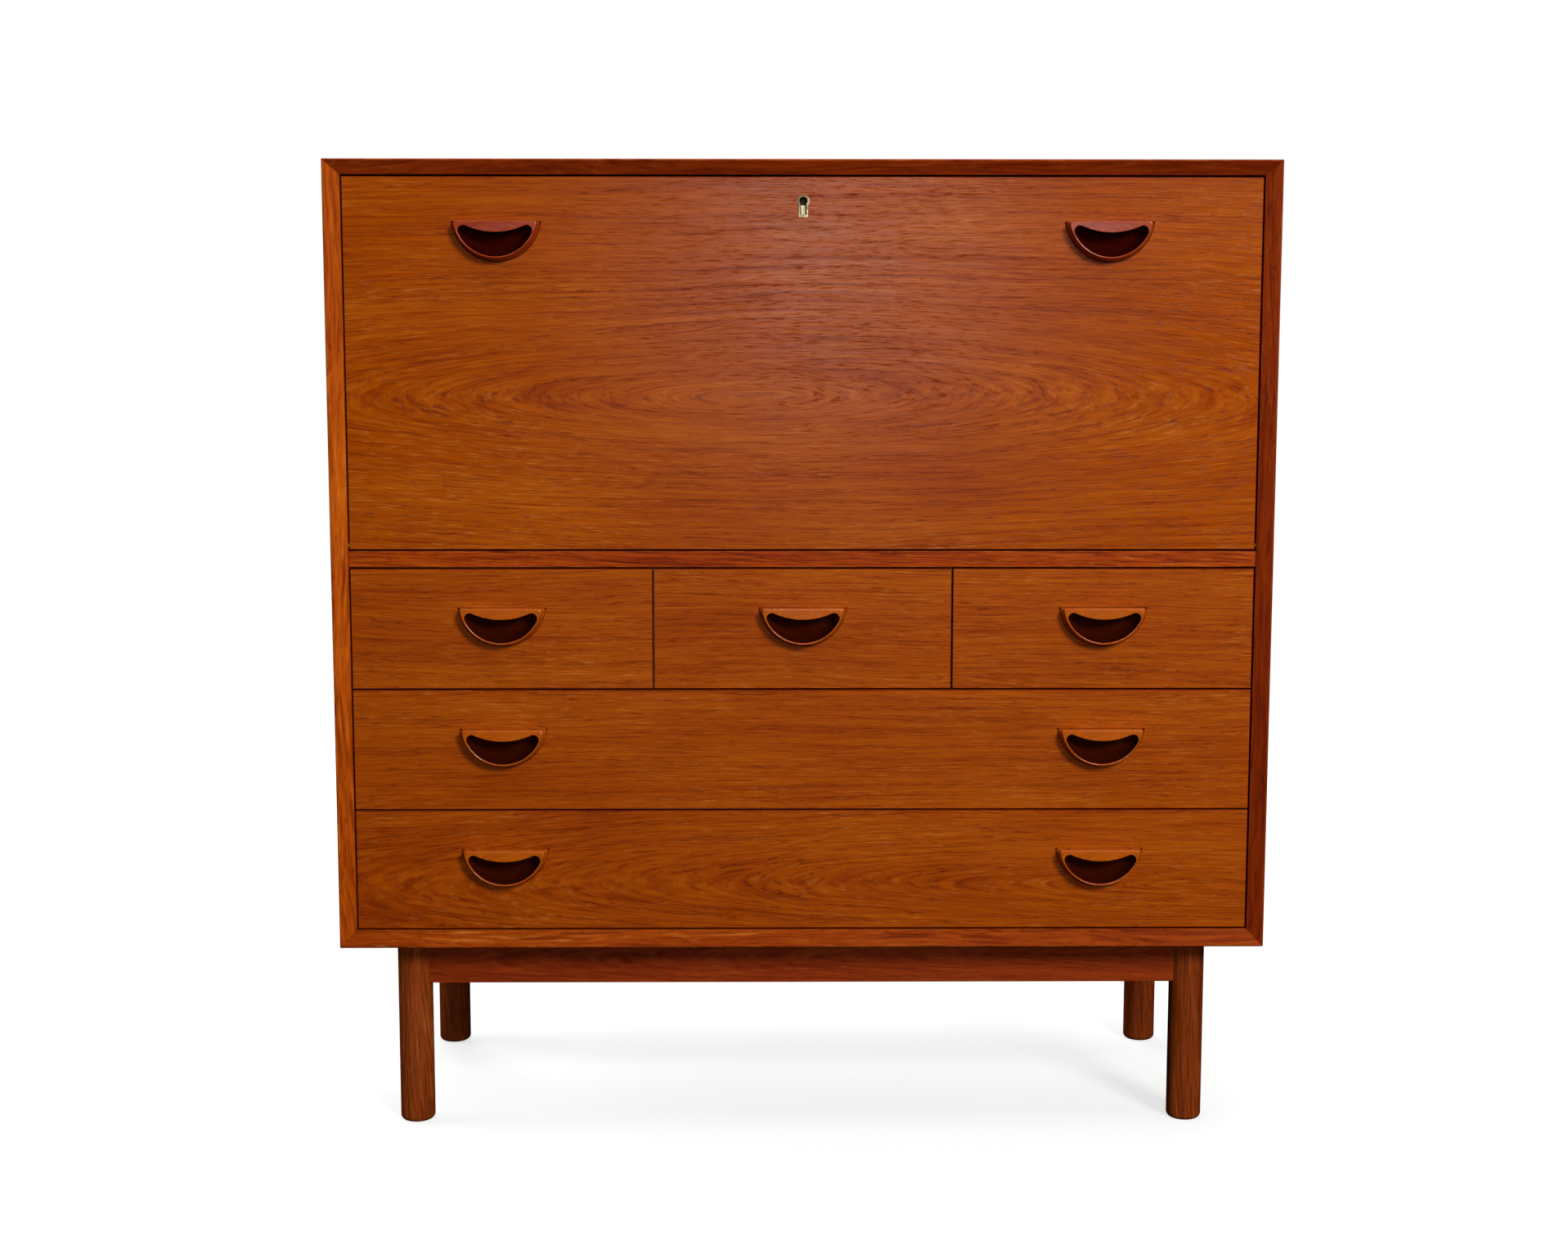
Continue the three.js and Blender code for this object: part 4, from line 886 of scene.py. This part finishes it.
def floor_paper():
    """White paper that takes soft shadows near the desk and stays white far away."""
    s = Shader("floor_paper")
    place = s.add("ShaderNodeTexCoord").outputs["Object"]
    far = s.add("ShaderNodeVectorMath", operation="LENGTH")
    s.put(far.inputs[0], place)
    s.surface.inputs["Base Color"].default_value = (0.3, 0.3, 0.3, 1.0)
    s.surface.inputs["Roughness"].default_value = 0.9
    s.surface.inputs["Specular IOR Level"].default_value = 0.0
    s.surface.inputs["Emission Color"].default_value = (1.0, 1.0, 1.0, 1.0)
    s.put(s.surface.inputs["Emission Strength"], s.spread(far.outputs["Value"], 1.0, 3.0, 0.72, 1.0))
    return s.material


floor_bm = bmesh.new()
bmesh.ops.create_grid(floor_bm, x_segments=1, y_segments=1, size=30.0)
floor_piece = finish_mesh("floor", floor_bm, floor_paper(), weighted=False)
floor_piece.visible_diffuse = False
floor_piece.visible_glossy = False


def softbox(name, place, target, size, power, colour=(1.0, 1.0, 1.0)):
    data = bpy.data.lights.new(name, "AREA")
    data.shape = "RECTANGLE"
    data.size, data.size_y = size
    data.energy = power
    data.color = colour
    lamp = bpy.data.objects.new(name, data)
    bpy.context.scene.collection.objects.link(lamp)
    lamp.location = place
    lamp.rotation_euler = (Vector(target) - Vector(place)).to_track_quat("-Z", "Y").to_euler()
    return lamp


softbox("key_light", (2.4, -4.3, 3.0), (0.0, -0.2, 0.7), (1.3, 1.3), 262, (1.0, 0.98, 0.94))
softbox("front_fill", (0.2, -4.6, 1.32), (0.0, -0.2, 0.8), (0.7, 0.6), 50)
softbox("overhead", (0.0, 0.2, 3.4), (0.0, 0.0, 0.0), (4.0, 3.2), 130)
softbox("back_fill", (-1.5, 3.2, 2.2), (0.0, 0.2, 0.6), (2.0, 2.0), 100)
softbox("left_fill", (-3.2, 0.6, 1.8), (0.0, 0.0, 0.6), (1.6, 1.6), 60)

world = bpy.data.worlds.new("studio")
bpy.context.scene.world = world
world.use_nodes = True
world.node_tree.nodes["Background"].inputs["Color"].default_value = (1.0, 1.0, 1.0, 1.0)
world.node_tree.nodes["Background"].inputs["Strength"].default_value = 1.0
world.cycles_visibility.diffuse = False
world.cycles_visibility.glossy = False

IMAGE_WIDTH = 1917
FOCAL_PX = 2600
camera_data = bpy.data.cameras.new("camera")
camera_data.sensor_fit = "HORIZONTAL"
camera_data.sensor_width = 36.0
camera_data.lens = FOCAL_PX / IMAGE_WIDTH * camera_data.sensor_width
camera = bpy.data.objects.new("camera", camera_data)
bpy.context.scene.collection.objects.link(camera)
camera.location = (-0.0428, -2.6371, 0.8838)
camera.rotation_euler = (math.radians(90 - 6.686), math.radians(-0.023), math.radians(-0.497))
bpy.context.scene.camera = camera
bpy.context.scene.view_settings.view_transform = "Standard"
